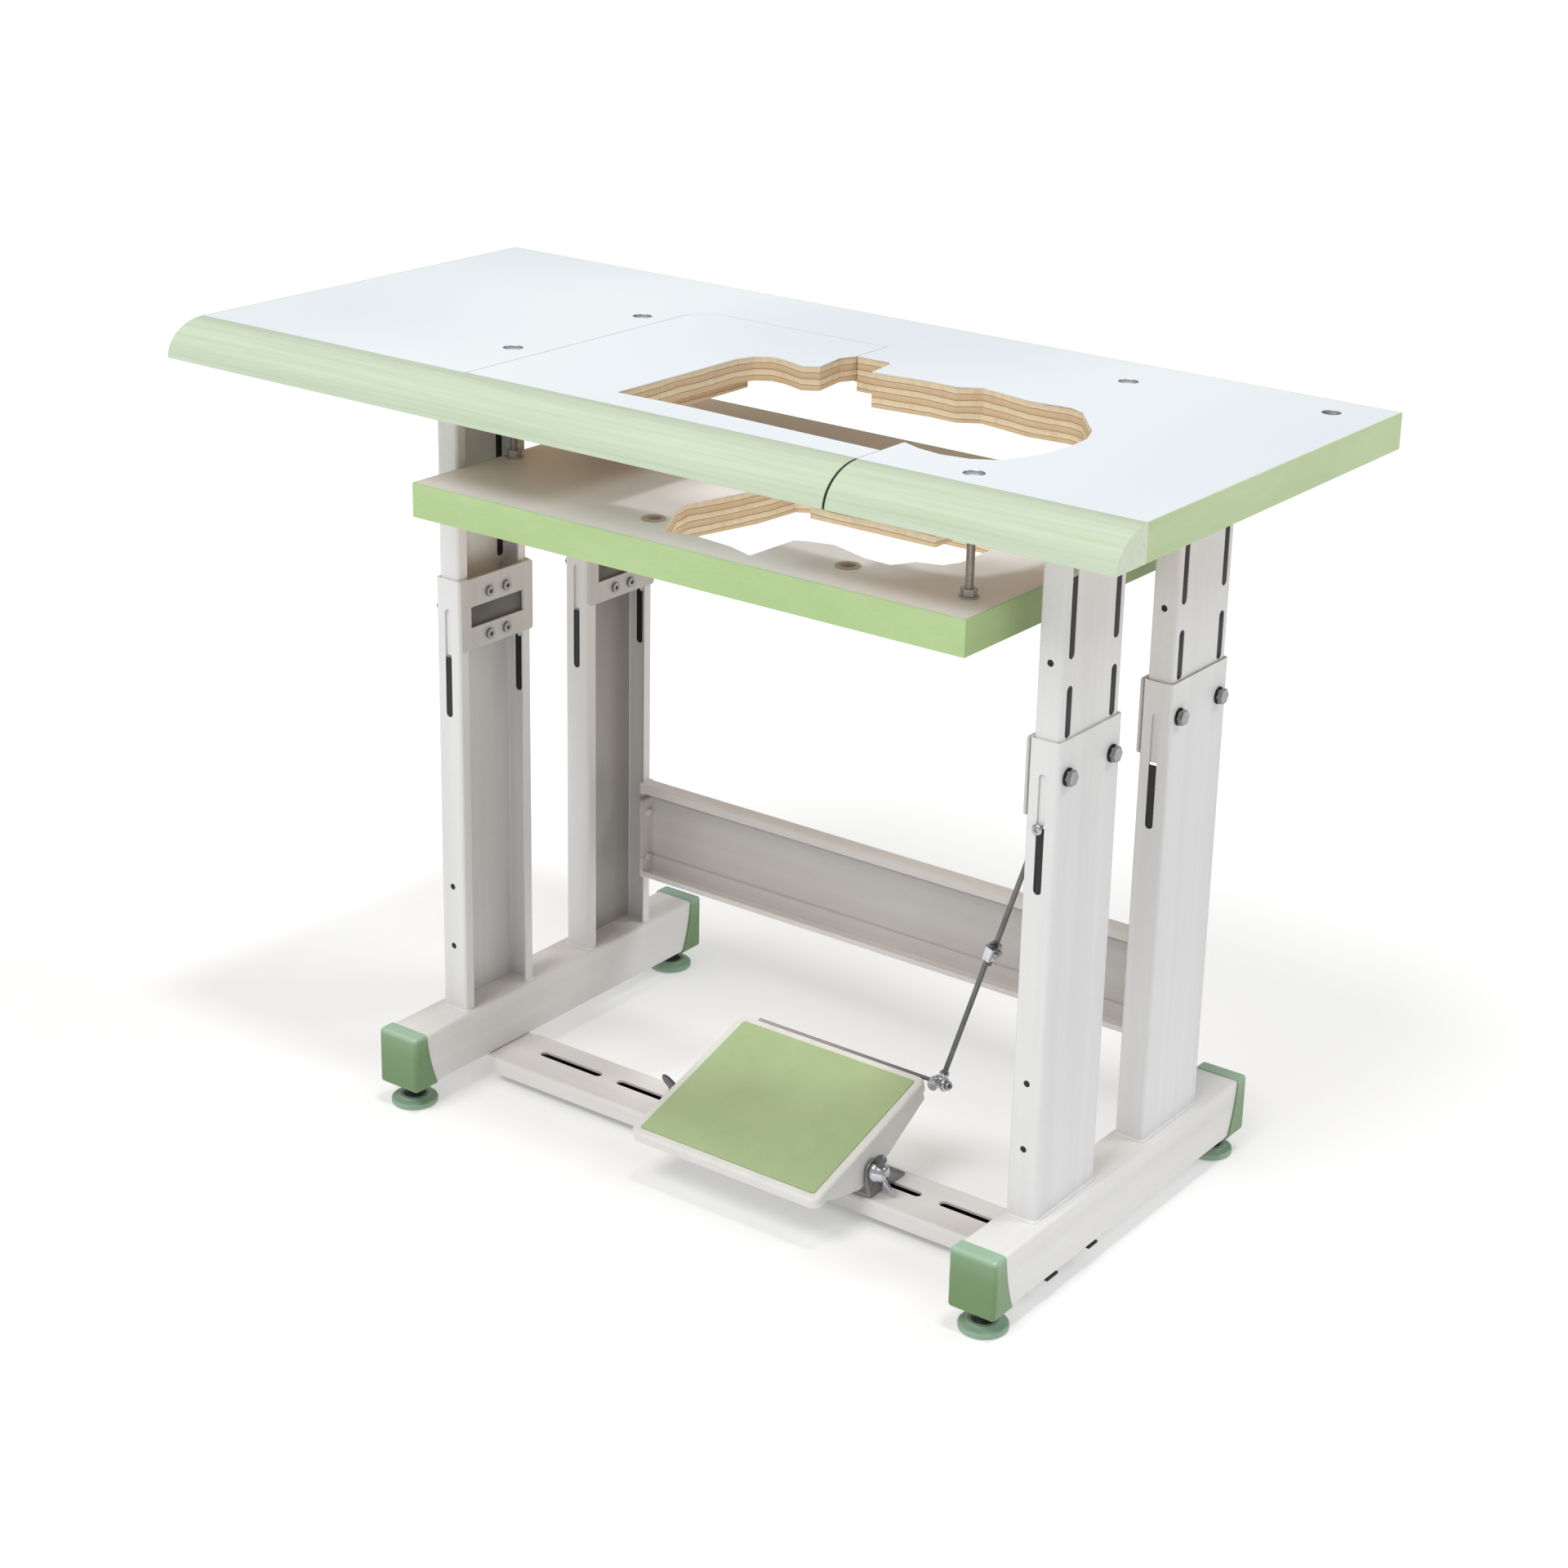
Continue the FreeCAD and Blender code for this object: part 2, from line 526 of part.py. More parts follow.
def lean(s):
    s.rotate(V(0, 0, 0), V(0, 1, 0), ROD_LEAN)
    s.translate(K)
    return s


kn = fuse([cyl(7.0, (-7, 0, 0), (1, 0, 0), 14.0), cyl(5.0, (0, 0, 0), (0, 0, 1), 14.0)])
kn = kn.cut(cyl(LINK_R + 0.06, (-20, 0, 0), (1, 0, 0), 40))
kn.translate(K)
stem_s = 13.0
low_rod = lean(cyl(ROD_R, (0, 0, stem_s), (0, 0, 1), 166.0 - stem_s))
kn = kn.cut(lean(cyl(ROD_R, (0, 0, stem_s - 5), (0, 0, 1), 40)))
# thumb screw of the knuckle
thumb = fuse([cyl(2.0, (0, -6.0, 4.0), (0, -1, 0), 6.0), cyl(5.5, (0, -11.0, 4.0), (0, -1, 0), 4.0)])
thumb.translate(K)
kn = kn.cut(thumb)
out("pitman_knuckle", kn)
out("pitman_knuckle_screw", thumb)
out("pitman_rod_lower", low_rod)
OFF = 6.6
blk = box(-5.2, -5.2, 150, 5.2, OFF + 5.2, 164)
be = [e for e in blk.Edges if abs(e.Vertexes[0].Point.z - e.Vertexes[1].Point.z) > 1]
blk = blk.makeFillet(2.6, be)
blk = cut(blk, [cyl(ROD_R, (0, 0, 140), (0, 0, 1), 40), cyl(ROD_R + 0.06, (0, OFF, 140), (0, 0, 1), 40)])
cs = [fuse([cyl(1.8, (3.0, dy2, 157), (1, 0, 0), 4.0), hexa(5.5, (5.2, dy2, 157), (1, 0, 0), 2.6)]) for dy2 in (0.0, OFF)]
blk2 = cut(blk, cs)
out("pitman_clamp", lean(blk2))
out("pitman_clamp_screws", [lean(s) for s in cs])
up = cyl(ROD_R, (0, OFF, 140), (0, 0, 1), 188.0)
out("pitman_rod_upper", lean(up))
eye = fuse([cyl(8.0, (0, OFF - 4.5, 342), (0, 1, 0), 9.0), cyl(4.6, (0, OFF, 322), (0, 0, 1), 16.0)])
eye = cut(eye, [cyl(3.2, (0, OFF - 10, 342), (0, 1, 0), 20), cyl(ROD_R, (0, OFF, 300), (0, 0, 1), 28.0)])
out("pitman_rod_end", lean(eye))

# ---------------------------------------------------------------- table top
ZB, ZT = TOP_Z - TOP_T, TOP_Z
ZC = ZT - LAM_T
CX0, CX1, CY1 = TOP_X0 + BAND_T, TOP_X1 - BAND_T, TOP_Y1 - BAND_T

brackets, bscrews = [], []
for nm, sg in SIDES:
    for en, se in ENDS:
        yc = se * COL_Y
        p = box(320, yc - 66, UP_Z1, 352, yc + 66, ZB)
        e = [e for e in p.Edges if abs(e.Vertexes[0].Point.z - e.Vertexes[1].Point.z) > 1]
        p = p.makeFillet(4.0, e)
        for x in (328, 344):
            for y in (yc - 58, yc + 58):
                p = p.cut(cyl(2.5, (x, y, UP_Z1 - 1), (0, 0, 1), 6))
                sc = fuse([cyl(2.5, (x, y, UP_Z1), (0, 0, 1), 22.0), cyl(5.0, (x, y, UP_Z1 - 2.6), (0, 0, 1), 2.6)])
                sc = sc.cut(box(x - 4, y - 0.6, UP_Z1 - 3, x + 4, y + 0.6, UP_Z1 - 1.4))
                bscrews.append(both(sc, sg))
        brackets.append(both(p, sg))
out("column_top_brackets", brackets)
out("bracket_wood_screws", bscrews)

core = box(CX0, RAIL_Y, ZB, CX1, CY1, ZC)
core = core.cut(prism(OPEN_UPPER, ZB + LEDGE_T, ZT + 5))
core = core.cut(prism(OPEN_LOWER, ZB - 5, ZB + LEDGE_T))
bores = [cyl(4.6, (x, y, ZB - 5), (0, 0, 1), 60) for x, y in HANGERS]
sinks = [cyl(9.6, (x, y, ZT - 9.0), (0, 0, 1), 20) for x, y in HANGERS]
stand = cyl(9.0, (STAND_HOLE[0], STAND_HOLE[1], ZB - 5), (0, 0, 1), 60)
pilots = []
for nm, sg in SIDES:
    for en, se in ENDS:
        for x in (328, 344):
            for y in (se * COL_Y - 58, se * COL_Y + 58):
                pilots.append(cyl(2.5, (sg * x, y, ZB - 1), (0, 0, 1), 20.0))
core = cut(core, bores + sinks + [stand] + pilots)
out("table_board", core)

lam = box(CX0, RAIL_Y, ZC, CX1, CY1, ZT).cut(prism(OPEN_UPPER, ZC - 5, ZT + 5))
lam = cut(lam, sinks + [stand])
out("table_laminate", lam)

band = box(TOP_X0, RAIL_Y, ZB, TOP_X1, TOP_Y1, ZT).cut(box(CX0, RAIL_Y - 5, ZB - 5, CX1, CY1, ZT + 5))
out("table_edge_band", band)

# rounded front rail: a quarter of an ellipse with a sharp lower edge
N = 12
curve = [V(0, RAIL_Y - RAIL_D * math.sin(math.pi / 2 * i / N), ZB + TOP_T * math.cos(math.pi / 2 * i / N)) for i in range(N + 1)]
bs = Part.BSplineCurve()
bs.interpolate(curve, InitialTangent=V(0, -1, 0), FinalTangent=V(0, 0, -1))
wire = Part.Wire([bs.toShape(), Part.LineSegment(curve[-1], V(0, RAIL_Y, ZB)).toShape(), Part.LineSegment(V(0, RAIL_Y, ZB), curve[0]).toShape()])
rail_face = Part.Face(wire)


def rail(x0, x1):
    f = rail_face.copy()
    f.translate(V(x0, 0, 0))
    return f.extrude(V(x1 - x0, 0, 0))


tongue = box(-277, RAIL_Y, ZB, 141, RAIL_Y + 16, ZB + LEDGE_T - 0.4).cut(box(-257.0 - 30, RAIL_Y - 1, ZB - 1, -258.0, RAIL_Y + 30, ZB + 20))
rl = fuse([rail(TOP_X0, SPLIT_X - 0.8), tongue])
rr = rail(SPLIT_X + 0.8, TOP_X1)
jscrew = []
for x, y in ((150.0, -203.0), (176.0, -203.0), (254.0, -203.0)):
    s = fuse([cyl(2.2, (x, y, ZB - 12), (0, 0, 1), 24.0), cyl(4.4, (x, y, ZB - 14.2), (0, 0, 1), 2.2)])
    jscrew.append(s)
rl = cut(rl, jscrew)
rr = cut(rr, jscrew)
out("front_rail_left", rl)
out("front_rail_right", rr)
jb = cut(box(143, -219, ZB - 12, 268, -186, ZB), jscrew)
out("rail_joint_batten", jb)
out("rail_joint_screws", jscrew)

# lift-out panel
pan = prism(PANEL, ZB + LEDGE_T + 0.4, ZC)
lamp = prism(PANEL, ZC, ZT)


def seam(s):
    # trims the panel back from the board and the rail
    z0, z1 = ZB - 20, ZT + 20
    keep = prism([(-278 + SEAM, RAIL_Y + SEAM), (160 - SEAM, RAIL_Y + SEAM), (160 - SEAM, 0), (-50 - SEAM, 60), (-50 - SEAM, 167 - SEAM), (-250, 167 - SEAM),
                  (-263.3, 163 - SEAM), (-273.2, 152.4), (-278 + SEAM, 139)], z0, z1)
    return s.common(keep)


pan = seam(pan)
lamp = seam(lamp)
out("insert_panel", pan)
out("insert_laminate", lamp)
pbat = box(-186, -128, ZB - 6, -150, 78, ZB + LEDGE_T + 0.4)
out("insert_batten", pbat)

# ---------------------------------------------------------------- lower board
t = BAND_T
LZC = LB_Z1 - 0.8
lcore = box(LB_X0 + t, LB_Y0 + t, LB_Z0, LB_X1 - t, LB_Y1 - t, LZC)
llam = box(LB_X0 + t, LB_Y0 + t, LZC, LB_X1 - t, LB_Y1 - t, LB_Z1)
ltools = [prism(CUT_LOW, LB_Z0 - 5, LB_Z1 + 5)]
ltools += [cyl(8.0, (x, y, LB_Z0 - 5), (0, 0, 1), 50) for x, y in MOUNT_HOLES]
ltools += [cyl(4.6, (x, y, LB_Z0 - 5), (0, 0, 1), 50) for x, y in HANGERS]
out("lower_board", cut(lcore, ltools))
out("lower_board_laminate", cut(llam, ltools))
lband = box(LB_X0, LB_Y0, LB_Z0, LB_X1, LB_Y1, LB_Z1).cut(box(LB_X0 + t, LB_Y0 + t, LB_Z0 - 5, LB_X1 - t, LB_Y1 - t, LB_Z1 + 5))
out("lower_board_edge_band", lband)

rods, hnuts, hwash = [], [], []
for x, y in HANGERS:
    rods.append(fuse([cyl(4.0, (x, y, LB_Z0 - 14.0), (0, 0, 1), ZT - 9.0 - LB_Z0 + 14.0), cyl(9.0, (x, y, ZT - 9.0), (0, 0, 1), 4.0)]))
    hwash.append(washer(9.0, 4.0, (x, y, LB_Z0 - 1.6), (0, 0, 1), 1.6))
    hwash.append(washer(9.0, 4.0, (x, y, LB_Z1), (0, 0, 1), 1.6))
    hnuts.append(nut(13.0, 4.0, (x, y, LB_Z0 - 1.6 - 6.5), (0, 0, 1), 6.5))
    hnuts.append(nut(13.0, 4.0, (x, y, LB_Z1 + 1.6), (0, 0, 1), 6.5))
    hnuts.append(nut(13.0, 4.0, (x, y, ZB - 6.5), (0, 0, 1), 6.5))
out("hanger_rods", rods)
out("hanger_nuts", hnuts)
out("hanger_washers", hwash)
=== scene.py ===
import json
import math
import bmesh
import bpy
from mathutils import Matrix, Vector


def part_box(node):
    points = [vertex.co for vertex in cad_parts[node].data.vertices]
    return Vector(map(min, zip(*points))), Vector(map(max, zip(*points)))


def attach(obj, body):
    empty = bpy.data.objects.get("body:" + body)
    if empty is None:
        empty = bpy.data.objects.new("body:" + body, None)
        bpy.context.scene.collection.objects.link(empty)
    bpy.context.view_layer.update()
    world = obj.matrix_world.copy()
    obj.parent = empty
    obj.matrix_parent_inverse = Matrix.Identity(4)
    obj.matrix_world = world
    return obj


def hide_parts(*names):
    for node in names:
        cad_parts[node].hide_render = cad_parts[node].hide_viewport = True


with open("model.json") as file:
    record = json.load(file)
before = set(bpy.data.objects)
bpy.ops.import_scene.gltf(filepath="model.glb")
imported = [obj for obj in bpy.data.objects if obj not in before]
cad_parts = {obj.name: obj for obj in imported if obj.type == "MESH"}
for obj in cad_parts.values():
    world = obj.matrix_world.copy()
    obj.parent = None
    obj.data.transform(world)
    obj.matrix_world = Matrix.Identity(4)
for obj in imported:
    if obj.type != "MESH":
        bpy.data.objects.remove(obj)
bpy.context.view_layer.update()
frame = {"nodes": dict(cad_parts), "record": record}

NODES = frame["nodes"]
scene = bpy.context.scene
MM = 0.001
SX, SY = 90.0, -25.0          # middle of the stand, in the row frame, mm


def P(x, y, z):
    """stand millimetres to row-frame metres"""
    return Vector(((x + SX) * MM, (y + SY) * MM, z * MM))


# ------------------------------------------------------------------ camera
AZ, EL, ROLL = math.radians(34.23771), math.radians(19.51071), math.radians(1.95844)
fwd = Vector((-math.sin(AZ) * math.cos(EL), math.cos(AZ) * math.cos(EL), -math.sin(EL)))
rgt = Vector((math.cos(AZ), math.sin(AZ), 0.0))
upv = rgt.cross(fwd)
r2 = rgt * math.cos(ROLL) + upv * math.sin(ROLL)
u2 = upv * math.cos(ROLL) - rgt * math.sin(ROLL)
cam_data = bpy.data.cameras.new("photo_camera")
cam = bpy.data.objects.new("photo_camera", cam_data)
scene.collection.objects.link(cam)
rot = Matrix((r2, u2, -fwd)).transposed().to_4x4()
cam.matrix_world = Matrix.Translation((1.618539, -2.153946, 1.409586)) @ rot
cam_data.sensor_width = 36.0
cam_data.lens = 68.1446
cam_data.shift_x = -0.06802
cam_data.shift_y = -0.07320
cam_data.clip_start = 0.05
cam_data.clip_end = 200.0
scene.camera = cam
scene.view_settings.view_transform = "Standard"
scene.view_settings.look = "None"


# ------------------------------------------------------------------ node helpers
def lin(r, g, b):
    """sRGB 0-255 to linear"""
    def f(c):
        c /= 255.0
        return c / 12.92 if c <= 0.04045 else ((c + 0.055) / 1.055) ** 2.4
    return (f(r), f(g), f(b), 1.0)


class Mat:
    """a small builder for one node material"""

    def __init__(self, name, **principled):
        self.m = bpy.data.materials.new(name)
        self.m.use_nodes = True
        self.t = self.m.node_tree
        self.t.nodes.clear()
        self.out = self.t.nodes.new("ShaderNodeOutputMaterial")
        self.b = self.t.nodes.new("ShaderNodeBsdfPrincipled")
        self.t.links.new(self.b.outputs[0], self.out.inputs[0])
        self.co = self.t.nodes.new("ShaderNodeTexCoord")
        for k, v in principled.items():
            self.b.inputs[k.replace("_", " ")].default_value = v

    def link(self, a, b):
        self.t.links.new(a, b)

    def set(self, socket, value):
        self.b.inputs[socket].default_value = value

    def node(self, kind, **kw):
        n = self.t.nodes.new(kind)
        for k, v in kw.items():
            setattr(n, k, v)
        return n

    def mapped(self, scale, rot=(0, 0, 0), src=None):
        n = self.node("ShaderNodeMapping")
        n.inputs["Scale"].default_value = scale
        n.inputs["Rotation"].default_value = rot
        self.link(src or self.co.outputs["Object"], n.inputs["Vector"])
        return n.outputs[0]

    def noise(self, scale, detail=2.0, rough=0.5, vec=None, distort=0.0):
        n = self.node("ShaderNodeTexNoise")
        n.inputs["Scale"].default_value = scale
        n.inputs["Detail"].default_value = detail
        n.inputs["Roughness"].default_value = rough
        n.inputs["Distortion"].default_value = distort
        self.link(vec or self.co.outputs["Object"], n.inputs["Vector"])
        return n.outputs["Fac"]

    def voronoi(self, scale, vec=None, feature="F1"):
        n = self.node("ShaderNodeTexVoronoi", feature=feature)
        n.inputs["Scale"].default_value = scale
        self.link(vec or self.co.outputs["Object"], n.inputs["Vector"])
        return n.outputs["Distance"]

    def ramp(self, fac, stops, interp="LINEAR"):
        n = self.node("ShaderNodeValToRGB")
        n.color_ramp.interpolation = interp
        els = n.color_ramp.elements
        while len(els) < len(stops):
            els.new(0.5)
        for e, (p, c) in zip(els, stops):
            e.position = p
            e.color = c if hasattr(c, "__len__") else (c, c, c, 1.0)
        self.link(fac, n.inputs[0])
        return n.outputs[0]

    def math(self, op, a, b=None, c=None, clamp=False):
        n = self.node("ShaderNodeMath", operation=op, use_clamp=clamp)
        for i, v in enumerate((a, b, c)):
            if v is None:
                continue
            if isinstance(v, (int, float)):
                n.inputs[i].default_value = v
            else:
                self.link(v, n.inputs[i])
        return n.outputs[0]

    def maprange(self, v, a, b, c, d, smooth=False):
        n = self.node("ShaderNodeMapRange", interpolation_type="SMOOTHSTEP" if smooth else "LINEAR")
        for i, x in enumerate((a, b, c, d)):
            n.inputs[1 + i].default_value = x
        self.link(v, n.inputs[0])
        return n.outputs[0]

    def mix(self, fac, a, b, blend="MIX"):
        n = self.node("ShaderNodeMix", data_type="RGBA", blend_type=blend)
        if isinstance(fac, (int, float)):
            n.inputs[0].default_value = fac
        else:
            self.link(fac, n.inputs[0])
        for i, v in ((6, a), (7, b)):
            if isinstance(v, tuple):
                n.inputs[i].default_value = v
            else:
                self.link(v, n.inputs[i])
        return n.outputs[2]

    def xyz(self, src=None):
        n = self.node("ShaderNodeSeparateXYZ")
        self.link(src or self.co.outputs["Object"], n.inputs[0])
        return n.outputs

    def color(self, sock):
        self.link(sock, self.b.inputs["Base Color"])

    def rough(self, sock):
        self.link(sock, self.b.inputs["Roughness"])

    def bump(self, height, strength, dist=0.001, after=None):
        n = self.node("ShaderNodeBump")
        n.inputs["Strength"].default_value = strength
        n.inputs["Distance"].default_value = dist
        self.link(height, n.inputs["Height"])
        if after is not None:
            self.link(after, n.inputs["Normal"])
        self.link(n.outputs[0], self.b.inputs["Normal"])
        return n.outputs[0]


# ------------------------------------------------------------------ materials
def m_laminate(name, a, b, rough=0.30):
    m = Mat(name)
    cloud = m.noise(2.6, 0.0, 0.5)
    m.color(m.ramp(cloud, [(0.15, a), (0.85, b)], "EASE"))
    m.rough(m.maprange(cloud, 0.15, 0.85, rough - 0.03, rough + 0.04, True))
    return m.m


def m_rail():
    m = Mat("rail_green_gloss")
    streak = m.noise(9.0, 5.0, 0.62, m.mapped((0.55, 30.0, 30.0)), 0.25)
    fine = m.noise(60.0, 3.0, 0.6, m.mapped((0.12, 14.0, 14.0)))
    base = m.ramp(streak, [(0.24, lin(184, 202, 168)), (0.50, lin(195, 211, 183)), (0.76, lin(206, 218, 197))])
    base = m.mix(m.maprange(fine, 0.46, 0.74, 0.0, 0.20), base, lin(215, 225, 208))
    seam = m.math("ABSOLUTE", m.math("SUBTRACT", m.xyz()[0], 0.25))      # painted shade: a dark band at the joint of the two lengths
    m.color(m.mix(m.maprange(seam, 0.0008, 0.0021, 1.0, 0.0, True), base, lin(92, 106, 84)))
    m.rough(m.maprange(fine, 0.3, 0.7, 0.30, 0.42))
    m.set("Coat Weight", 1.0)
    m.set("Coat Roughness", 0.26)
    m.bump(fine, 0.03, 0.0006)
    return m.m


def m_band(name, a, b):
    m = Mat(name)
    cloud = m.noise(7.0, 3.0, 0.6, m.mapped((1.0, 1.0, 3.0)))
    base = m.ramp(cloud, [(0.28, a), (0.74, b)])
    fine = m.noise(420.0, 2.0, 0.6, m.mapped((0.25, 0.25, 1.0)))
    base = m.mix(0.08, base, m.ramp(fine, [(0.35, 0.55), (0.65, 1.0)]), "MULTIPLY")
    m.color(base)
    m.rough(m.maprange(fine, 0.3, 0.7, 0.36, 0.46))
    m.bump(fine, 0.06, 0.0004)
    return m.m


def m_plywood(name, shade=1.0):
    m = Mat(name, Roughness=0.7)
    wob = m.noise(16.0, 3.0, 0.6)
    fine = m.noise(140.0, 3.0, 0.6, m.mapped((1.0, 1.0, 0.35)))
    x, y, z = m.xyz()
    zz = m.math("ADD", z, m.math("MULTIPLY", m.math("SUBTRACT", wob, 0.5), 0.0050))
    ph = m.math("FRACT", m.math("MULTIPLY", zz, 1.0 / 0.0118))

    def k(r, g, b):
        c = lin(r, g, b)
        return (c[0] * shade, c[1] * shade, c[2] * shade, 1.0)

    ply = m.ramp(ph, [(0.0, k(156, 122, 86)), (0.06, k(240, 222, 192)), (0.44, k(234, 214, 181)), (0.50, k(152, 118, 82)),
                      (0.56, k(216, 188, 150)), (0.94, k(224, 198, 162)), (1.0, k(156, 122, 86))])
    ply = m.mix(m.maprange(fine, 0.42, 0.70, 0.0, 0.30), ply, k(200, 168, 128))
    grain = m.noise(22.0, 5.0, 0.66, m.mapped((0.8, 15.0, 15.0)), 0.8)
    face = m.ramp(grain, [(0.25, k(186, 150, 106)), (0.50, k(212, 180, 136)), (0.75, k(226, 198, 158))])
    nz = m.math("ABSOLUTE", m.xyz(m.co.outputs["Normal"])[2])
    m.color(m.mix(m.maprange(nz, 0.55, 0.75, 0.0, 1.0), ply, face))
    h = m.math("ADD", m.math("MULTIPLY", ph, 0.35), fine)
    m.rough(m.maprange(fine, 0.3, 0.7, 0.62, 0.80))
    m.bump(h, 0.30, 0.0006)
    return m.m


def m_paint(name, a, b, streak_axis="z", rough=0.36):
    m = Mat(name)
    sc = {"z": (26.0, 26.0, 0.7), "x": (0.7, 26.0, 26.0), "y": (26.0, 0.7, 26.0)}[streak_axis]
    streak = m.noise(2.2, 4.0, 0.62, m.mapped(sc))
    cloud = m.noise(5.0, 3.0, 0.6)
    f = m.math("ADD", m.math("MULTIPLY", streak, 0.6), m.math("MULTIPLY", cloud, 0.4))
    base = m.ramp(f, [(0.32, a), (0.66, b)])
    speck = m.noise(700.0, 1.0)
    base = m.mix(0.05, base, m.ramp(speck, [(0.36, 0.45), (0.55, 1.0)]), "MULTIPLY")
    m.color(base)
    m.rough(m.maprange(cloud, 0.3, 0.7, rough - 0.05, rough + 0.08))
    m.bump(m.noise(520.0, 2.0, 0.5), 0.10, 0.0004)
    return m.m


def m_plastic(name, a, b, rough=0.42, grain=900.0, coat=0.0):
    m = Mat(name)
    cloud = m.noise(14.0, 3.0, 0.6)
    base = m.ramp(cloud, [(0.30, a), (0.72, b)])
    vd = m.voronoi(grain)
    base = m.mix(0.10, base, m.ramp(vd, [(0.15, 0.62), (0.60, 1.0)]), "MULTIPLY")
    m.color(base)
    m.rough(m.maprange(cloud, 0.3, 0.7, rough - 0.05, rough + 0.07))
    if coat:
        m.set("Coat Weight", coat)
        m.set("Coat Roughness", 0.25)
    m.bump(vd, 0.10, 0.0004)
    return m.m


def m_channel(name, a, b, low, high):
    """leg paint, darker on the faces inside the channel and darker towards the top: painted shade"""
    m = Mat(name)
    streak = m.noise(2.2, 4.0, 0.62, m.mapped((26.0, 26.0, 0.7)))
    cloud = m.noise(5.0, 3.0, 0.6)
    f = m.math("ADD", m.math("MULTIPLY", streak, 0.6), m.math("MULTIPLY", cloud, 0.4))
    base = m.ramp(f, [(0.32, a), (0.66, b)])
    x, y, z = m.xyz(m.co.outputs["Generated"])
    side = m.math("MINIMUM", x, m.math("SUBTRACT", 1.0, x))
    inside = m.math("MULTIPLY", m.math("GREATER_THAN", side, 0.03), m.math("LESS_THAN", side, 0.14))
    inside = m.math("MULTIPLY", inside, m.math("MULTIPLY", m.math("GREATER_THAN", y, 0.03), m.math("LESS_THAN", y, 0.97)))
    # painted shade: the faces inside the channel darkened, most at the top under the shelf
    painted_shade_ramp = m.ramp(m.math("ADD", z, m.math("MULTIPLY", m.math("SUBTRACT", cloud, 0.5), 0.25)), [(0.0, low), (0.95, high)])
    m.color(m.mix(inside, base, m.mix(1.0, base, painted_shade_ramp, "MULTIPLY")))
    m.rough(m.maprange(cloud, 0.3, 0.7, 0.31, 0.44))
    m.bump(m.noise(520.0, 2.0, 0.5), 0.10, 0.0004)
    return m.m


def m_beam():
    m = Mat("beam_paint")
    streak = m.noise(2.2, 4.0, 0.62, m.mapped((0.7, 26.0, 26.0)))
    cloud = m.noise(5.0, 3.0, 0.6)
    f = m.math("ADD", m.math("MULTIPLY", streak, 0.6), m.math("MULTIPLY", cloud, 0.4))
    base = m.ramp(f, [(0.32, lin(226, 221, 218)), (0.66, lin(238, 235, 232))])
    t = m.maprange(m.xyz()[2], 0.136, 0.243, 0.0, 1.0)
    # painted shade and light: lighter lower flange and upper lip, dark lines above the lower flange and under the upper
    # lip, a darker web
    painted_beam_shade = m.ramp(t, [(0.0, 1.0), (0.075, 1.0), (0.10, 0.90), (0.19, 0.88), (0.207, 0.60), (0.228, 0.80), (0.60, 0.84),
                      (0.80, 0.80), (0.832, 0.36), (0.862, 0.34), (0.895, 0.92), (0.91, 1.0), (1.0, 1.0)])
    m.color(m.mix(1.0, base, painted_beam_shade, "MULTIPLY"))
    m.rough(m.maprange(cloud, 0.3, 0.7, 0.31, 0.44))
    m.bump(m.noise(520.0, 2.0, 0.5), 0.10, 0.0004)
    return m.m


def m_cap():
    m = Mat("cap_green")
    cloud = m.noise(14.0, 3.0, 0.6)
    t = m.maprange(m.xyz()[2], 0.026, 0.083, 0.0, 1.0)
    # painted light: the top of the cap lighter mint, the sides darker green
    base = m.ramp(t, [(0.0, lin(97, 132, 78)), (0.60, lin(103, 139, 89)), (0.88, lin(120, 155, 113)), (0.955, lin(158, 190, 164)), (1.0, lin(162, 193, 169))])
    base = m.mix(0.30, base, m.ramp(cloud, [(0.30, 0.82), (0.72, 1.0)]), "MULTIPLY")
    vd = m.voronoi(500.0)
    base = m.mix(0.10, base, m.ramp(vd, [(0.15, 0.62), (0.60, 1.0)]), "MULTIPLY")
    m.color(base)
    m.rough(m.maprange(cloud, 0.3, 0.7, 0.29, 0.41))
    m.set("Coat Weight", 0.5)
    m.set("Coat Roughness", 0.25)
    m.bump(vd, 0.10, 0.0004)
    return m.m


def m_bar():
    m = Mat("bar_steel", Metallic=1.0)
    t = m.xyz(m.co.outputs["Generated"])[0]
    # painted shade: the bar darkens towards its right end
    base = m.ramp(t, [(0.0, 0.62), (0.40, 0.46), (0.75, 0.24), (1.0, 0.17)])
    fine = m.noise(3.0, 3.0, 0.6, m.mapped((40.0, 900.0, 900.0)))
    m.color(m.mix(0.15, base, m.ramp(fine, [(0.35, 0.5), (0.65, 1.0)]), "MULTIPLY"))
    m.rough(m.maprange(fine, 0.3, 0.7, 0.30, 0.46))
    m.bump(fine, 0.05, 0.0003)
    return m.m


def m_mat_rubber():
    m = Mat("mat_rubber")
    cloud = m.noise(9.0, 4.0, 0.62)
    base = m.ramp(cloud, [(0.28, lin(159, 180, 131)), (0.50, lin(166, 187, 140)), (0.74, lin(174, 193, 149))])
    vd = m.voronoi(620.0)
    base = m.mix(0.12, base, m.ramp(vd, [(0.10, 0.60), (0.55, 1.0)]), "MULTIPLY")
    m.color(base)
    m.rough(m.maprange(cloud, 0.3, 0.7, 0.60, 0.74))
    m.bump(vd, 0.20, 0.0005)
    return m.m


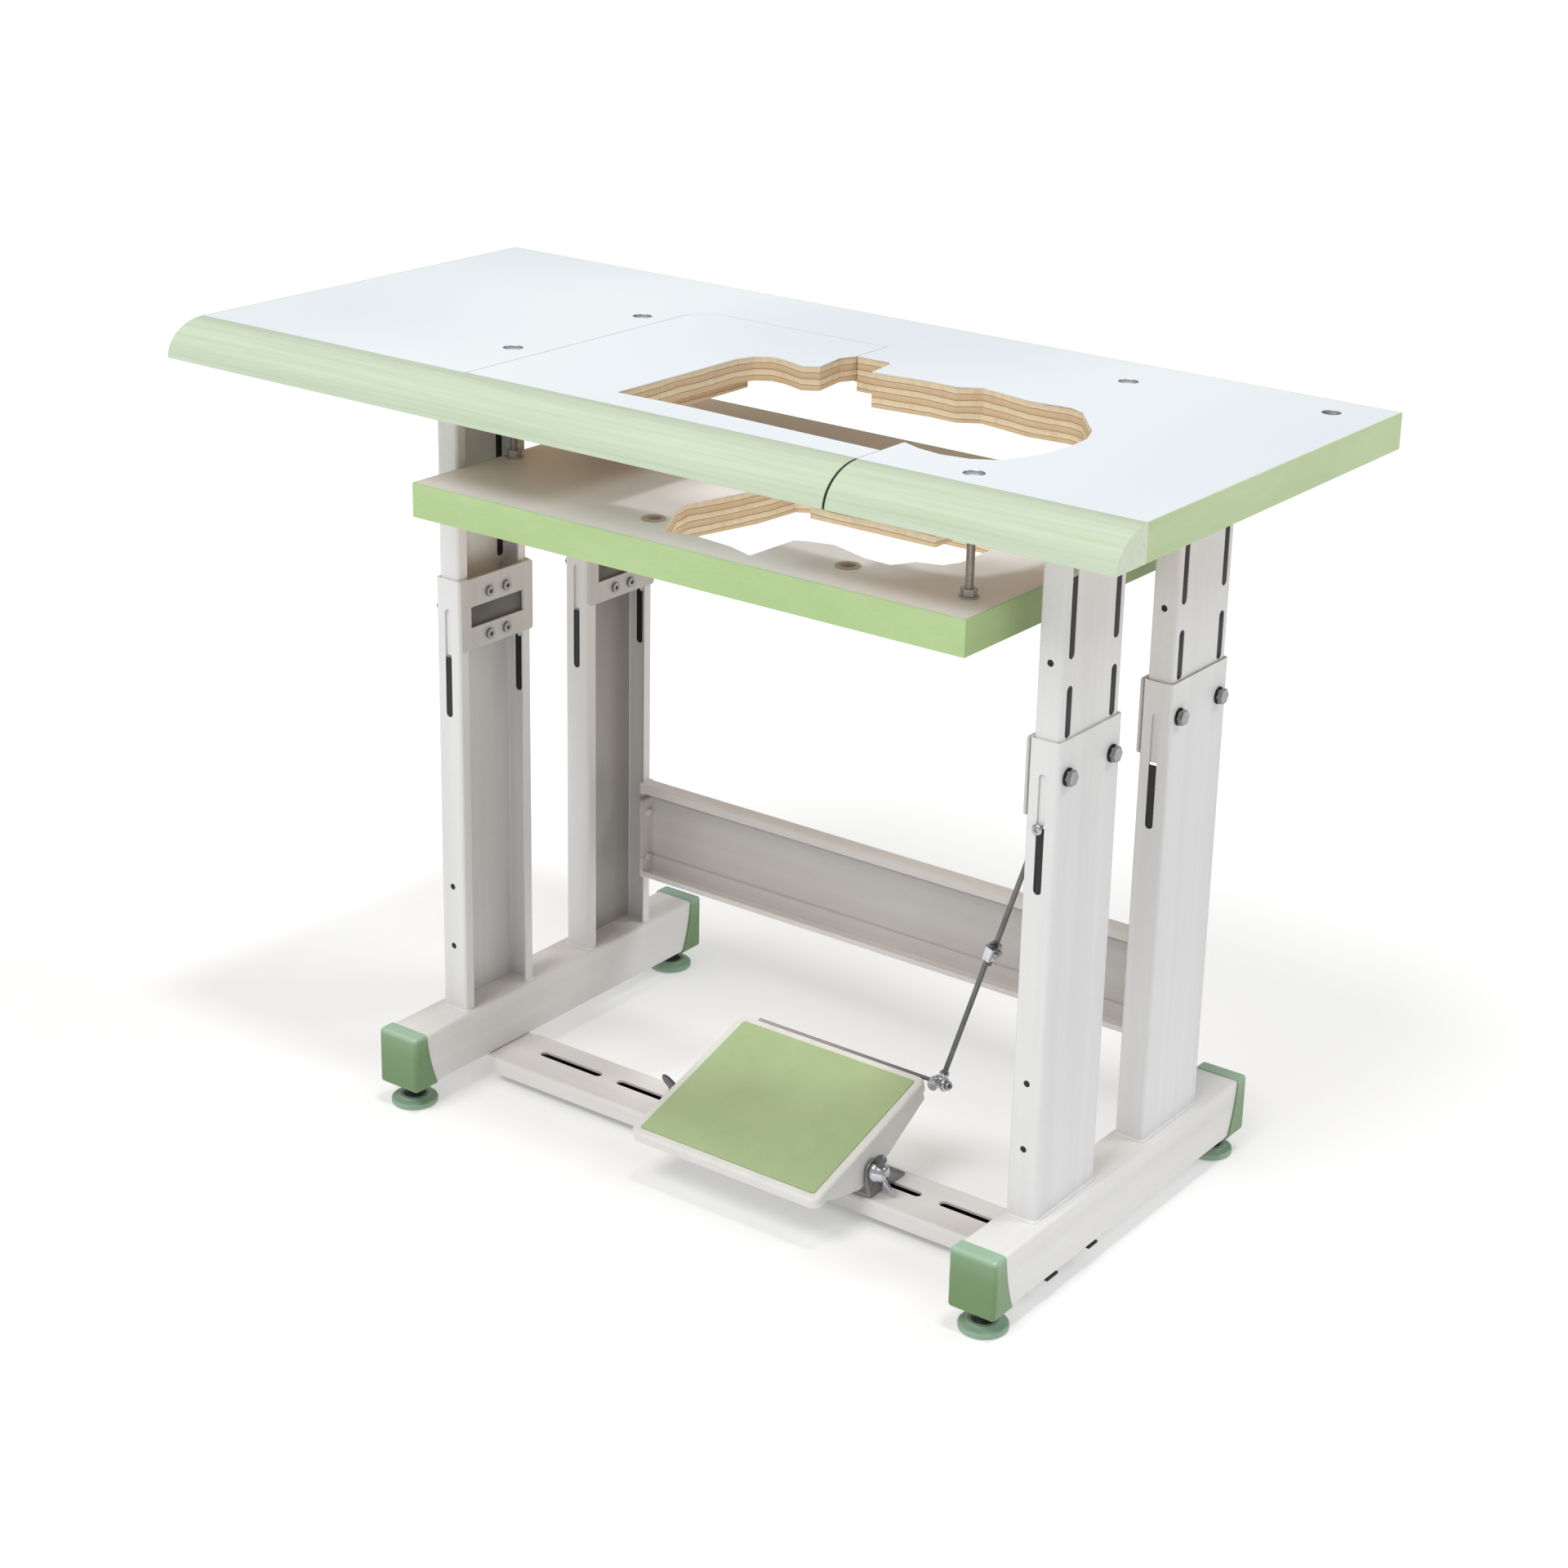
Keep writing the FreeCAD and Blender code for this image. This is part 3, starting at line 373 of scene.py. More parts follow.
def m_metal(name, a, b, rough, spread=0.08, scratch=(400.0, 400.0, 400.0), bump=0.05):
    m = Mat(name, Metallic=1.0)
    cloud = m.noise(60.0, 4.0, 0.65)
    base = m.ramp(cloud, [(0.28, a), (0.74, b)])
    fine = m.noise(3.0, 3.0, 0.6, m.mapped(scratch))
    m.color(m.mix(0.15, base, m.ramp(fine, [(0.35, 0.5), (0.65, 1.0)]), "MULTIPLY"))
    m.rough(m.maprange(fine, 0.3, 0.7, max(0.03, rough - spread), rough + spread))
    m.bump(fine, bump, 0.0003)
    return m.m


MATS = {
    "white_laminate": m_laminate("top_laminate", lin(229, 235, 241), lin(241, 245, 248)),
    "shelf_laminate": m_laminate("shelf_laminate", lin(228, 226, 225), lin(240, 239, 238), 0.40),
    "green_rail": m_rail(),
    "green_band": m_band("band_green", lin(183, 204, 152), lin(195, 214, 166)),
    "shelf_band": m_band("shelf_band_green", lin(174, 203, 140), lin(187, 212, 155)),
    "plywood": m_plywood("plywood"),
    "leg_paint": m_paint("leg_paint", lin(220, 219, 219), lin(231, 231, 231)),
    "leg_paint_x": m_paint("leg_paint_x", lin(219, 216, 214), lin(231, 229, 227), "x"),
    "leg_paint_y": m_paint("leg_paint_y", lin(222, 220, 219), lin(233, 232, 231), "y"),
    "pedal_paint": m_paint("pedal_paint", lin(216, 215, 211), lin(228, 227, 224), "y", 0.32),
    "green_cap": m_cap(),
    "beam_paint": m_beam(),
    "channel_shade_paint": m_channel("channel_shade_paint", lin(220, 219, 219), lin(231, 231, 231), (0.64, 0.63, 0.61, 1.0), (0.50, 0.475, 0.44, 1.0)),
    "bar_steel": m_bar(),
    # darker copy of the leg paint for the clamp plates: painted shade under the shelf
    "plate_paint": m_paint("plate_paint", lin(193, 191, 189), lin(205, 204, 202)),
    "bolt_steel": m_metal("bolt_steel", (0.27, 0.27, 0.285, 1), (0.40, 0.40, 0.415, 1), 0.16, 0.05),
    "pad_plastic": m_plastic("pad_green", lin(136, 165, 141), lin(149, 177, 153), 0.45),
    "black": m_plastic("black_plastic", lin(16, 16, 16), lin(26, 26, 25), 0.55),
    "dark_grey": m_plastic("dark_grey_plastic", lin(88, 88, 84), lin(104, 104, 99), 0.5),
    "grommet": m_plastic("grommet_rubber", lin(176, 158, 142), lin(196, 180, 164), 0.55),
    "pale_cap": m_plastic("pale_cap", lin(222, 225, 228), lin(234, 237, 239), 0.40),
    "mat_rubber": m_mat_rubber(),
    "zinc": m_metal("zinc_plate", (0.46, 0.46, 0.47, 1), (0.62, 0.62, 0.62, 1), 0.34),
    "black_zinc": m_metal("black_zinc", (0.03, 0.03, 0.03, 1), (0.07, 0.07, 0.07, 1), 0.40),
    # darker copy of zinc for the pedal brackets and clamp plate screws: painted shade
    "bracket_steel": m_metal("bracket_steel", (0.26, 0.26, 0.265, 1), (0.38, 0.38, 0.385, 1), 0.36),
    "chrome": m_metal("chrome", (0.56, 0.56, 0.60, 1), (0.70, 0.70, 0.74, 1), 0.07, 0.03),
    # darker copy of chrome: painted shade
    "chrome_shaded_copy": m_metal("chrome_shaded_copy", (0.13, 0.13, 0.145, 1), (0.22, 0.22, 0.24, 1), 0.12, 0.04),
    "rod_steel": m_metal("rod_steel", (0.16, 0.16, 0.165, 1), (0.24, 0.24, 0.245, 1), 0.38, 0.10, (900.0, 900.0, 40.0)),
}

SPECIAL = {
    "lower_board_laminate": "shelf_laminate", "lower_board_edge_band": "shelf_band",
    "foot_beam_left": "leg_paint_y", "foot_beam_right": "leg_paint_y",
    "rear_beam": "beam_paint", "pedal_crossbar": "leg_paint_x", "rear_beam_bolts": "leg_paint_x",
    "leveller_locknuts": "black_zinc", "pitman_clamp": "chrome", "column_clamp_bolts": "bolt_steel", "column_clamp_washers": "black_zinc",
    "lower_column_rear_left": "channel_shade_paint", "lower_column_rear_right": "channel_shade_paint",
    "clamp_plate_screws": "bracket_steel", "clamp_plates": "plate_paint", "pedal_link_bar": "bar_steel",
    "pedal_bracket_left": "bracket_steel", "pedal_bracket_right": "bracket_steel",
}
BEVEL = {"leg_paint": 0.35, "pedal_paint": 0.6, "white_laminate": 0.12, "green_band": 0.3, "plywood": 0.25, "green_cap": 0.5,
         "zinc": 0.25, "mat_rubber": 0.3, "chrome": 0.2, "rod_steel": 0.25, "green_rail": 0.8}
SLOT_OF = {s["node"]: s["material_slot"] for s in frame["record"]["subparts"]}


def finish_mesh(o, width, angle=32.0):
    """smooth shading, welded seams and softened edges, all as modifiers"""
    me = o.data
    if "custom_normal" in me.attributes:
        me.attributes.remove(me.attributes["custom_normal"])
    for a in [a.name for a in me.attributes if a.name == "sharp_edge" or a.name == "sharp_face"]:
        me.attributes.remove(me.attributes[a])
    me.polygons.foreach_set("use_smooth", [True] * len(me.polygons))
    w = o.modifiers.new("weld", "WELD")
    w.merge_threshold = 2e-6
    d = o.modifiers.new("planar", "DECIMATE")
    d.decimate_type = "DISSOLVE"
    d.angle_limit = math.radians(0.4)
    b = o.modifiers.new("edge", "BEVEL")
    b.width = width * MM
    b.segments = 2
    b.limit_method = "ANGLE"
    b.angle_limit = math.radians(angle)
    b.use_clamp_overlap = True
    b.harden_normals = False
    n = o.modifiers.new("normals", "WEIGHTED_NORMAL")
    n.keep_sharp = False
    n.weight = 80


for name, o in NODES.items():
    key = SPECIAL.get(name, SLOT_OF[name])
    o.data.materials.clear()
    o.data.materials.append(MATS[key])
    finish_mesh(o, BEVEL.get(SLOT_OF[name], 0.25))


# ------------------------------------------------------------------ mesh helpers
def add(name, verts, faces, mats, face_mats=None, smooth=True, body=None, replaces=()):
    me = bpy.data.meshes.new(name)
    me.from_pydata([tuple(v) for v in verts], [], faces)
    for m in mats:
        me.materials.append(MATS[m])
    if face_mats:
        me.polygons.foreach_set("material_index", face_mats)
    me.validate()
    bm = bmesh.new()
    bm.from_mesh(me)
    bmesh.ops.recalc_face_normals(bm, faces=bm.faces)
    bm.to_mesh(me)
    bm.free()
    if smooth:
        me.polygons.foreach_set("use_smooth", [True] * len(me.polygons))
        me.set_sharp_from_angle(angle=math.radians(38))
    o = bpy.data.objects.new(name, me)
    scene.collection.objects.link(o)
    if replaces:
        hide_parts(*replaces)
    if body:
        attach(o, body)
    return o


class Shell:
    """collects closed shells into one mesh"""

    def __init__(self):
        self.v, self.f, self.m = [], [], []

    def put(self, verts, faces, mat=0):
        k = len(self.v)
        self.v += [Vector(p) for p in verts]
        self.f += [tuple(i + k for i in f) for f in faces]
        self.m += [mat] * len(faces)

    def rings(self, rings, mat=0, closed=True):
        """loft through rings of equal count, fan caps at both ends"""
        n = len(rings[0])
        verts = [p for r in rings for p in r]
        faces = []
        for i in range(len(rings) - 1):
            for j in range(n):
                a, b = i * n + j, i * n + (j + 1) % n
                faces.append((a, b, b + n, a + n))
        if closed:
            faces.append(tuple(range(n))[::-1])
            faces.append(tuple(range((len(rings) - 1) * n, len(rings) * n)))
        self.put(verts, faces, mat)


def frame_of(axis):
    axis = Vector(axis).normalized()
    t = Vector((0, 0, 1)) if abs(axis.z) < 0.9 else Vector((1, 0, 0))
    u = axis.cross(t).normalized()
    return axis, u, axis.cross(u)


def ring(c, u, v, r, n, ph=0.0):
    return [c + u * (r * math.cos(ph + 2 * math.pi * i / n)) + v * (r * math.sin(ph + 2 * math.pi * i / n)) for i in range(n)]


def revolve(sh, base, axis, prof, n=40, mat=0):
    """prof: (radius mm, height mm) from one end to the other"""
    a, u, v = frame_of(axis)
    sh.rings([ring(base + a * (h * MM), u, v, max(r, 0.02) * MM, n) for r, h in prof], mat)


def thread(sh, base, axis, h0, h1, r, pitch, depth, n=22, mat=0):
    """rod with a helical thread"""
    a, u, v = frame_of(axis)
    steps = int((h1 - h0) / (pitch / 4.0))
    rows = []
    for k in range(steps + 1):
        h = h0 + (h1 - h0) * k / steps
        row = []
        for i in range(n):
            th = 2 * math.pi * i / n
            f = (h / pitch - i / n) % 1.0
            tri = abs(f * 2 - 1)
            rr = r - depth * tri
            if k == 0 or k == steps:
                rr = r - depth * 1.1
            row.append(base + a * (h * MM) + (u * math.cos(th) + v * math.sin(th)) * (rr * MM))
        rows.append(row)
    sh.rings(rows, mat)


def bar_capsule(sh, pts2d, to3d, d0, d1, mat=0, soft=0.25):
    """prism of a flat outline with softened edges; to3d(a, b, d)"""
    cx = sum(p[0] for p in pts2d) / len(pts2d)
    cy = sum(p[1] for p in pts2d) / len(pts2d)

    def inset(k):
        o = []
        for x, y in pts2d:
            dx, dy = x - cx, y - cy
            o.append((cx + (dx - math.copysign(min(k, abs(dx)), dx)), cy + (dy - math.copysign(min(k, abs(dy)), dy))))
        return o

    rows = []
    for k, d in ((soft, d0), (0.0, d0 + soft * (1 if d1 > d0 else -1)), (0.0, d1 - soft * (1 if d1 > d0 else -1)), (soft, d1)):
        rows.append([to3d(x, y, d) for x, y in inset(k)])
    sh.rings(rows, mat)


def slot_outline(c, z0, z1, w, round_lo=True, round_hi=True, n=8):
    """outline of an upright slot centred on c"""
    r = w / 2
    pts = []
    if round_lo:
        pts += [(c - r * math.cos(math.pi * i / n), z0 + r - r * math.sin(math.pi * i / n)) for i in range(n + 1)]
    else:
        pts += [(c - r, z0), (c + r, z0)]
    if round_hi:
        pts += [(c + r * math.cos(math.pi * i / n), z1 - r + r * math.sin(math.pi * i / n)) for i in range(n + 1)]
    else:
        pts += [(c + r, z1), (c - r, z1)]
    return pts


COLS = [(se, sg) for sg in (-1, 1) for se in (-1, 1)]
COL_Y, COL_HALF = 94.0, 51.0

# ------------------------------------------------------------------ dark strips behind the slots: painted shade inside them
sh = Shell()
for se, sg in COLS:
    yc = se * COL_Y
    for fl in (-1, 1):
        y_out = yc + fl * (COL_HALF - 0.5)
        y_in = yc + fl * (COL_HALF - 1.7)
        bar_capsule(sh, slot_outline(sg * 336.0, 392.05, 453.0, 7.9, True, False),
                    lambda a, b, d: P(a, d, b), y_in, y_out)
add("flange_slot_shade_strips", sh.v, sh.f, ["black"], body="stand")

sh = Shell()
for se, sg in COLS:
    for s2 in (-1, 1):
        c = se * COL_Y + s2 * 36.0
        for z0, z1, hi in ((603.05, 674.0, False), (533.05, 579.45, True)):
            bar_capsule(sh, slot_outline(c, z0, z1, 8.9, True, hi), lambda a, b, d: P(sg * d, a, b), 346.9, 348.1)
add("web_slot_shade_strips", sh.v, sh.f, ["black"], body="table")

# ------------------------------------------------------------------ dark dishes in the flange holes: painted shade of the holes
DISH = [(0, 1.75), (3.1, 1.75), (3.15, 1.55), (3.15, 0.75), (2.75, 0.62), (2.2, 0.95), (0, 1.1)]
sh = Shell()
for sg in (-1, 1):
    for z in (149.0, 213.0):
        revolve(sh, P(sg * 336.0, -COL_Y - COL_HALF, z), (0, 1, 0), DISH, 24)
add("flange_hole_shade_dishes", sh.v, sh.f, ["black"], body="stand")
sh = Shell()
for se, sg in COLS:
    for fl in (-1, 1):
        revolve(sh, P(sg * 336.0, se * COL_Y + fl * (COL_HALF - 2.4), 600.0), (0, -fl, 0), DISH, 24)
add("upper_flange_hole_shade_dishes", sh.v, sh.f, ["black"], body="table")

# ------------------------------------------------------------------ dark plates behind the clamp plate windows: painted shade of the column's inside
sh = Shell()
for se, sg in COLS:
    yc = se * COL_Y
    ol = [(yc - 40.0, 482.2), (yc - 39.0, 481.4), (yc + 39.0, 481.4), (yc + 40.0, 482.2), (yc + 40.0, 505.6), (yc + 39.0, 506.4), (yc - 39.0, 506.4), (yc - 40.0, 505.6)]
    bar_capsule(sh, ol, lambda a, b, d: P(sg * d, a, b), 321.25, 322.75)
add("clamp_window_shade_plates", sh.v, sh.f, ["dark_grey"], body="stand")

# ------------------------------------------------------------------ steel cups in the counterbores of the top
sh = Shell()
for x, y in ((-311.0, -76.0), (-306.0, 109.0), (194.0, 207.0), (258.0, -150.0)):
    c = P(x, y, 0.0)
    a, u, v = frame_of((0, 0, 1))
    sh.rings([ring(c + a * (h * MM), u, v, r * MM, 40) for r, h in ((9.1, 745.4), (9.5, 745.2), (9.55, 745.6), (9.55, 749.6), (9.45, 749.9), (9.15, 749.7), (9.0, 749.3), (9.0, 745.7), (9.1, 745.4))], closed=False)
c = P(391.0, 231.0, 0.0)
sh.rings([ring(c + a * (h * MM), u, v, r * MM, 40) for r, h in ((8.75, 716.3), (8.95, 716.2), (8.97, 716.6), (8.97, 749.5), (8.9, 749.9), (8.7, 749.6), (8.68, 716.6), (8.75, 716.3))], closed=False)
add("top_hole_liners", sh.v, sh.f, ["zinc"], body="table")
sh = Shell()
for x, y in ((-82.0, -147.0), (132.0, -147.0), (-82.0, 78.0), (132.0, 78.0)):
    c = P(x, y, 0.0)
    sh.rings([ring(c + a * (h * MM), u, v, r * MM, 40) for r, h in ((7.2, 610.2), (7.8, 610.1), (7.94, 610.6), (7.94, 643.06), (11.0, 643.06), (11.4, 643.35), (11.2, 643.9), (10.2, 644.5), (8.6, 644.6),
                                                                      (7.2, 644.0), (6.7, 643.0), (6.6, 641.5), (6.6, 610.7), (7.2, 610.2))], closed=False)
add("foot_hole_grommets", sh.v, sh.f, ["grommet"], body="table")

# ------------------------------------------------------------------ pale caps over the hanger heads
sh = Shell()
for x, y in ((-311.0, -76.0), (-306.0, 109.0), (194.0, 207.0), (258.0, -150.0)):
    revolve(sh, P(x, y, 0.0), (0, 0, 1), [(0, 745.1), (8.3, 745.1), (8.8, 745.4), (8.85, 745.9), (8.5, 746.5), (7.4, 746.9), (4.0, 747.15), (0, 747.2)], 40)
add("hanger_head_caps", sh.v, sh.f, ["pale_cap"], body="table")

# ------------------------------------------------------------------ dark strip under the crossbar: painted shade inside the channel
sh = Shell()
lo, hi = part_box("pedal_crossbar")
x0, x1 = lo.x + 0.052, hi.x - 0.052
y0, y1 = lo.y + 0.0026, hi.y - 0.0026
rows = []
N = 48
for i in range(N + 1):
    x = x0 + (x1 - x0) * i / N
    z = lo.z + 0.0006
    rows.append([Vector((x, y0, z + 0.0020)), Vector((x, y0 + 0.0015, z)), Vector((x, y1 - 0.0015, z)), Vector((x, y1, z + 0.0020)),
                 Vector((x, y1 - 0.0008, z + 0.0024)), Vector((x, y1 - 0.0022, z + 0.0012)), Vector((x, y0 + 0.0022, z + 0.0012)), Vector((x, y0 + 0.0008, z + 0.0024))])
sh.rings(rows)
add("crossbar_shade_strip", sh.v, sh.f, ["black"], body="stand")

# ------------------------------------------------------------------ dark marks under the outer edge of the feet: painted shade in the gap
sh = Shell()
for sg in (-1, 1):
    for ya, yb in ((-136.0, -117.0), (-65.0, -49.0)):
        ol = [(ya, 22.6), (ya + 0.9, 21.3), (yb - 0.9, 21.3), (yb, 22.6), (yb, 23.2), (yb - 0.6, 23.9), (ya + 0.6, 23.9), (ya, 23.2)]
        bar_capsule(sh, ol, lambda a, b, d: P(sg * d, a, b), 358.3, 362.5)
add("foot_edge_shade_marks", sh.v, sh.f, ["black"], body="stand")

# ------------------------------------------------------------------ levelling feet
for en, se in (("front", -1), ("rear", 1)):
    for nm, sg in (("left", -1), ("right", 1)):
        node = "leveller_%s_%s" % (en, nm)
        c = P(sg * 339.0, se * 202.0, 0.0)
        sh = Shell()
        revolve(sh, c, (0, 0, 1), [(0, 0.9), (15.5, 0.9), (16.0, 0.0), (21.4, 0.0), (22.4, 0.35), (22.9, 1.1), (23.0, 2.0), (23.0, 3.8), (22.7, 4.7),
                                   (21.9, 5.4), (20.6, 5.9), (16.0, 7.1), (15.4, 7.6), (15.0, 8.4), (12.4, 9.2), (0, 9.2)], 56)
        pad = add(node + "_pad", sh.v, sh.f, ["pad_plastic"], body=node, replaces=(node,))
        sh = Shell()
        revolve(sh, c, (0, 0, 1), [(0, 8.9), (11.8, 8.9), (11.9, 9.6), (10.6, 11.6), (9.6, 12.6), (9.4, 13.6), (8.8, 14.0), (0, 14.0)], 40)
        thread(sh, c, (0, 0, 1), 13.5, 58.5, 4.98, 1.5, 0.75, 24)
        add(node + "_stud", sh.v, sh.f, ["black_zinc"], body=node)

# ------------------------------------------------------------------ threaded hanger rods
HANG = [(-311.0, -76.0), (-306.0, 109.0), (194.0, 207.0), (258.0, -150.0)]
sh = Shell()
for x, y in HANG:
    c = P(x, y, 0.0)
    thread(sh, c, (0, 0, 1), 596.5, 741.2, 3.98, 1.25, 0.62, 20)
    revolve(sh, c, (0, 0, 1), [(0, 741.0), (8.3, 741.0), (8.95, 741.5), (9.0, 742.2), (8.7, 743.1), (7.6, 744.1), (5.4, 744.8), (3.4, 744.95),
                               (3.0, 744.3), (2.9, 742.6), (0, 742.5)], 40)
add("hanger_rods_threaded", sh.v, sh.f, ["zinc"], body="table", replaces=("hanger_rods",))


# ------------------------------------------------------------------ wing screws
def catmull(pts, n=6):
    o = []
    k = len(pts)
    for i in range(k):
        p0, p1, p2, p3 = (Vector(pts[(i + j - 1) % k]) for j in range(4))
        for s in range(n):
            t = s / n
            o.append(0.5 * ((2 * p1) + (p2 - p0) * t + (2 * p0 - 5 * p1 + 4 * p2 - p3) * t * t + (3 * p1 - p0 - 3 * p2 + p3) * t ** 3))
    return o


def wing_screw(node, body, direction):
    lo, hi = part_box(node)
    jy, jz = P(0, -112.0, 52.0).y, P(0, -112.0, 52.0).z
    base = Vector((lo.x + 0.013, jy, jz)) if direction > 0 else Vector((hi.x - 0.013, jy, jz))
    axis = Vector((direction, 0, 0))
    sh = Shell()
    revolve(sh, base, axis, [(0, 0.35), (9.2, 0.35), (10.2, 0.9), (10.5, 1.8), (10.5, 4.4), (9.9, 5.6), (9.1, 7.4), (8.4, 9.8), (7.4, 12.2), (6.2, 13.6), (4.4, 14.4), (0, 14.5)], 40)
    thread(sh, base, axis, -12.8, 1.0, 3.95, 1.25, 0.5, 20)
    ang = math.radians(-72.0)
    # the wings lie in a plane through the screw's axis
    w = Vector((0, math.cos(ang), math.sin(ang)))
    nrm = axis.cross(w).normalized()
    out2 = [(3.0, 1.6), (9.0, 1.4), (16.0, 3.0), (21.0, 7.0), (24.6, 12.2), (24.6, 16.0), (21.4, 17.8), (17.0, 16.8), (11.5, 13.0), (6.0, 11.0), (3.0, 11.0)]
    loop = catmull([Vector((a, h, 0)) for a, h in out2], 5)
    cen = Vector((13.5, 9.4, 0))
    for side in (-1, 1):
        rows = []
        for s, t in ((0.80, -1.0), (0.93, -0.86), (1.0, -0.35), (1.0, 0.35), (0.93, 0.86), (0.80, 1.0)):
            row = []
            for p in loop:
                q = cen + (p - cen) * s
                thick = 2.3 - 0.035 * q.x
                row.append(base + axis * (q.y * MM) + w * (side * q.x * MM) + nrm * (t * thick * MM))
            rows.append(row)
        # one wing takes the darker chrome copy: painted shade
        sh.rings(rows, 1 if side < 0 else 0)
    return add(node + "_cast", sh.v, sh.f, ["chrome", "chrome_shaded_copy"], face_mats=sh.m, body=body, replaces=(node,))


wing_screw("pedal_wing_bolt_right", "wing_bolt_right", 1)
wing_screw("pedal_wing_bolt_left", "wing_bolt_left", -1)


# ------------------------------------------------------------------ turned knuckle on the link bar
sh = Shell()
kc = P(165.0, -17.566, 106.271)
ka, ku, kv = frame_of((1, 0, 0))
spool = [(2.12, -7.0), (5.4, -7.0), (6.5, -6.4), (6.95, -5.4), (6.95, -4.1), (6.4, -3.2), (5.3, -2.5), (5.0, 0.0), (5.3, 2.5), (6.4, 3.2), (6.95, 4.1),
         (6.95, 5.4), (6.5, 6.4), (5.4, 7.0), (2.12, 7.0), (2.12, -7.0)]
sh.rings([ring(kc + ka * (h * MM), ku, kv, r * MM, 40) for r, h in spool], closed=False)
la = math.radians(17.7)
revolve(sh, kc, (math.sin(la), 0, math.cos(la)), [(0, 4.4), (4.2, 4.4), (4.7, 5.6), (4.7, 7.6), (3.9, 8.4), (3.7, 9.6), (4.2, 10.4), (4.8, 11.0), (4.8, 12.8), (4.3, 13.6), (2.7, 13.8), (0, 13.8)], 32)
add("pitman_knuckle_turned", sh.v, sh.f, ["chrome"], body="pitman_lower", replaces=("pitman_knuckle",))


# ------------------------------------------------------------------ weld beads at the column feet
def column_path(yc, sg):
    r = 3.6
    x0, x1, y0, y1 = 321.0, 351.0, yc - COL_HALF, yc + COL_HALF
    pts = []

    def arc(cx, cy, a0, a1):
        for i in range(7):
            a = math.radians(a0 + (a1 - a0) * i / 6)
            pts.append((cx + r * math.cos(a), cy + r * math.sin(a)))

    pts.append((x0, y0 + 10.5))
    arc(x0 + r, y0 + r, 180, 270)
    arc(x1 - r, y0 + r, 270, 360)
    arc(x1 - r, y1 - r, 0, 90)
    arc(x0 + r, y1 - r, 90, 180)
    pts.append((x0, y1 - 10.5))
    # even spacing
    dense = [pts[0]]
    for a, b in zip(pts, pts[1:]):
        d = math.dist(a, b)
        k = max(1, int(d / 1.1))
        dense += [(a[0] + (b[0] - a[0]) * i / k, a[1] + (b[1] - a[1]) * i / k) for i in range(1, k + 1)]
    return [(sg * x, y) for x, y in dense]


sh = Shell()
for se, sg in COLS:
    path = column_path(se * COL_Y, sg)
    s = 0.0
    rows = []
    total = sum(math.dist(a, b) for a, b in zip(path, path[1:]))
    for i, p in enumerate(path):
        a = path[max(0, i - 1)]
        b = path[min(len(path) - 1, i + 1)]
        t = Vector((b[0] - a[0], b[1] - a[1])).normalized()
        nrm = Vector((t.y, -t.x)) * (1 if sg > 0 else -1)
        if i:
            s += math.dist(path[i - 1], p)
        size = 1.0 + 0.13 * math.sin(2 * math.pi * s / 3.4) + 0.10 * math.sin(s * 0.21 + se + 2 * sg)
        size *= min(1.0, s / 4.0 + 0.15, (total - s) / 4.0 + 0.15)
        row = []
        for o, h in ((-0.3, -0.25), (1.9, -0.25), (2.1, 0.15), (1.75, 0.9), (1.1, 1.55), (0.3, 2.1), (-0.3, 2.15)):
            row.append(P(p[0] + nrm.x * o * (size if o > 0 else 1), p[1] + nrm.y * o * (size if o > 0 else 1), 80.0 + h * (size if h > 0 else 1)))
        rows.append(row)
    sh.rings(rows)
add("column_weld_beads", sh.v, sh.f, ["leg_paint"], body="stand")

# ------------------------------------------------------------------ lock screw in the front right slot
sh = Shell()
c = P(333.6, -145.0 - 0.2, 451.5)
revolve(sh, c, (0, -1, 0), [(0, -1.4), (3.9, -1.4), (4.0, 0.1), (4.9, 0.35), (5.0, 1.0), (4.6, 1.8), (3.4, 2.5), (2.2, 2.7), (1.9, 2.3), (1.8, 1.2), (0, 1.1)], 32)
add("slot_lock_screw", sh.v, sh.f, ["zinc"], body="stand")

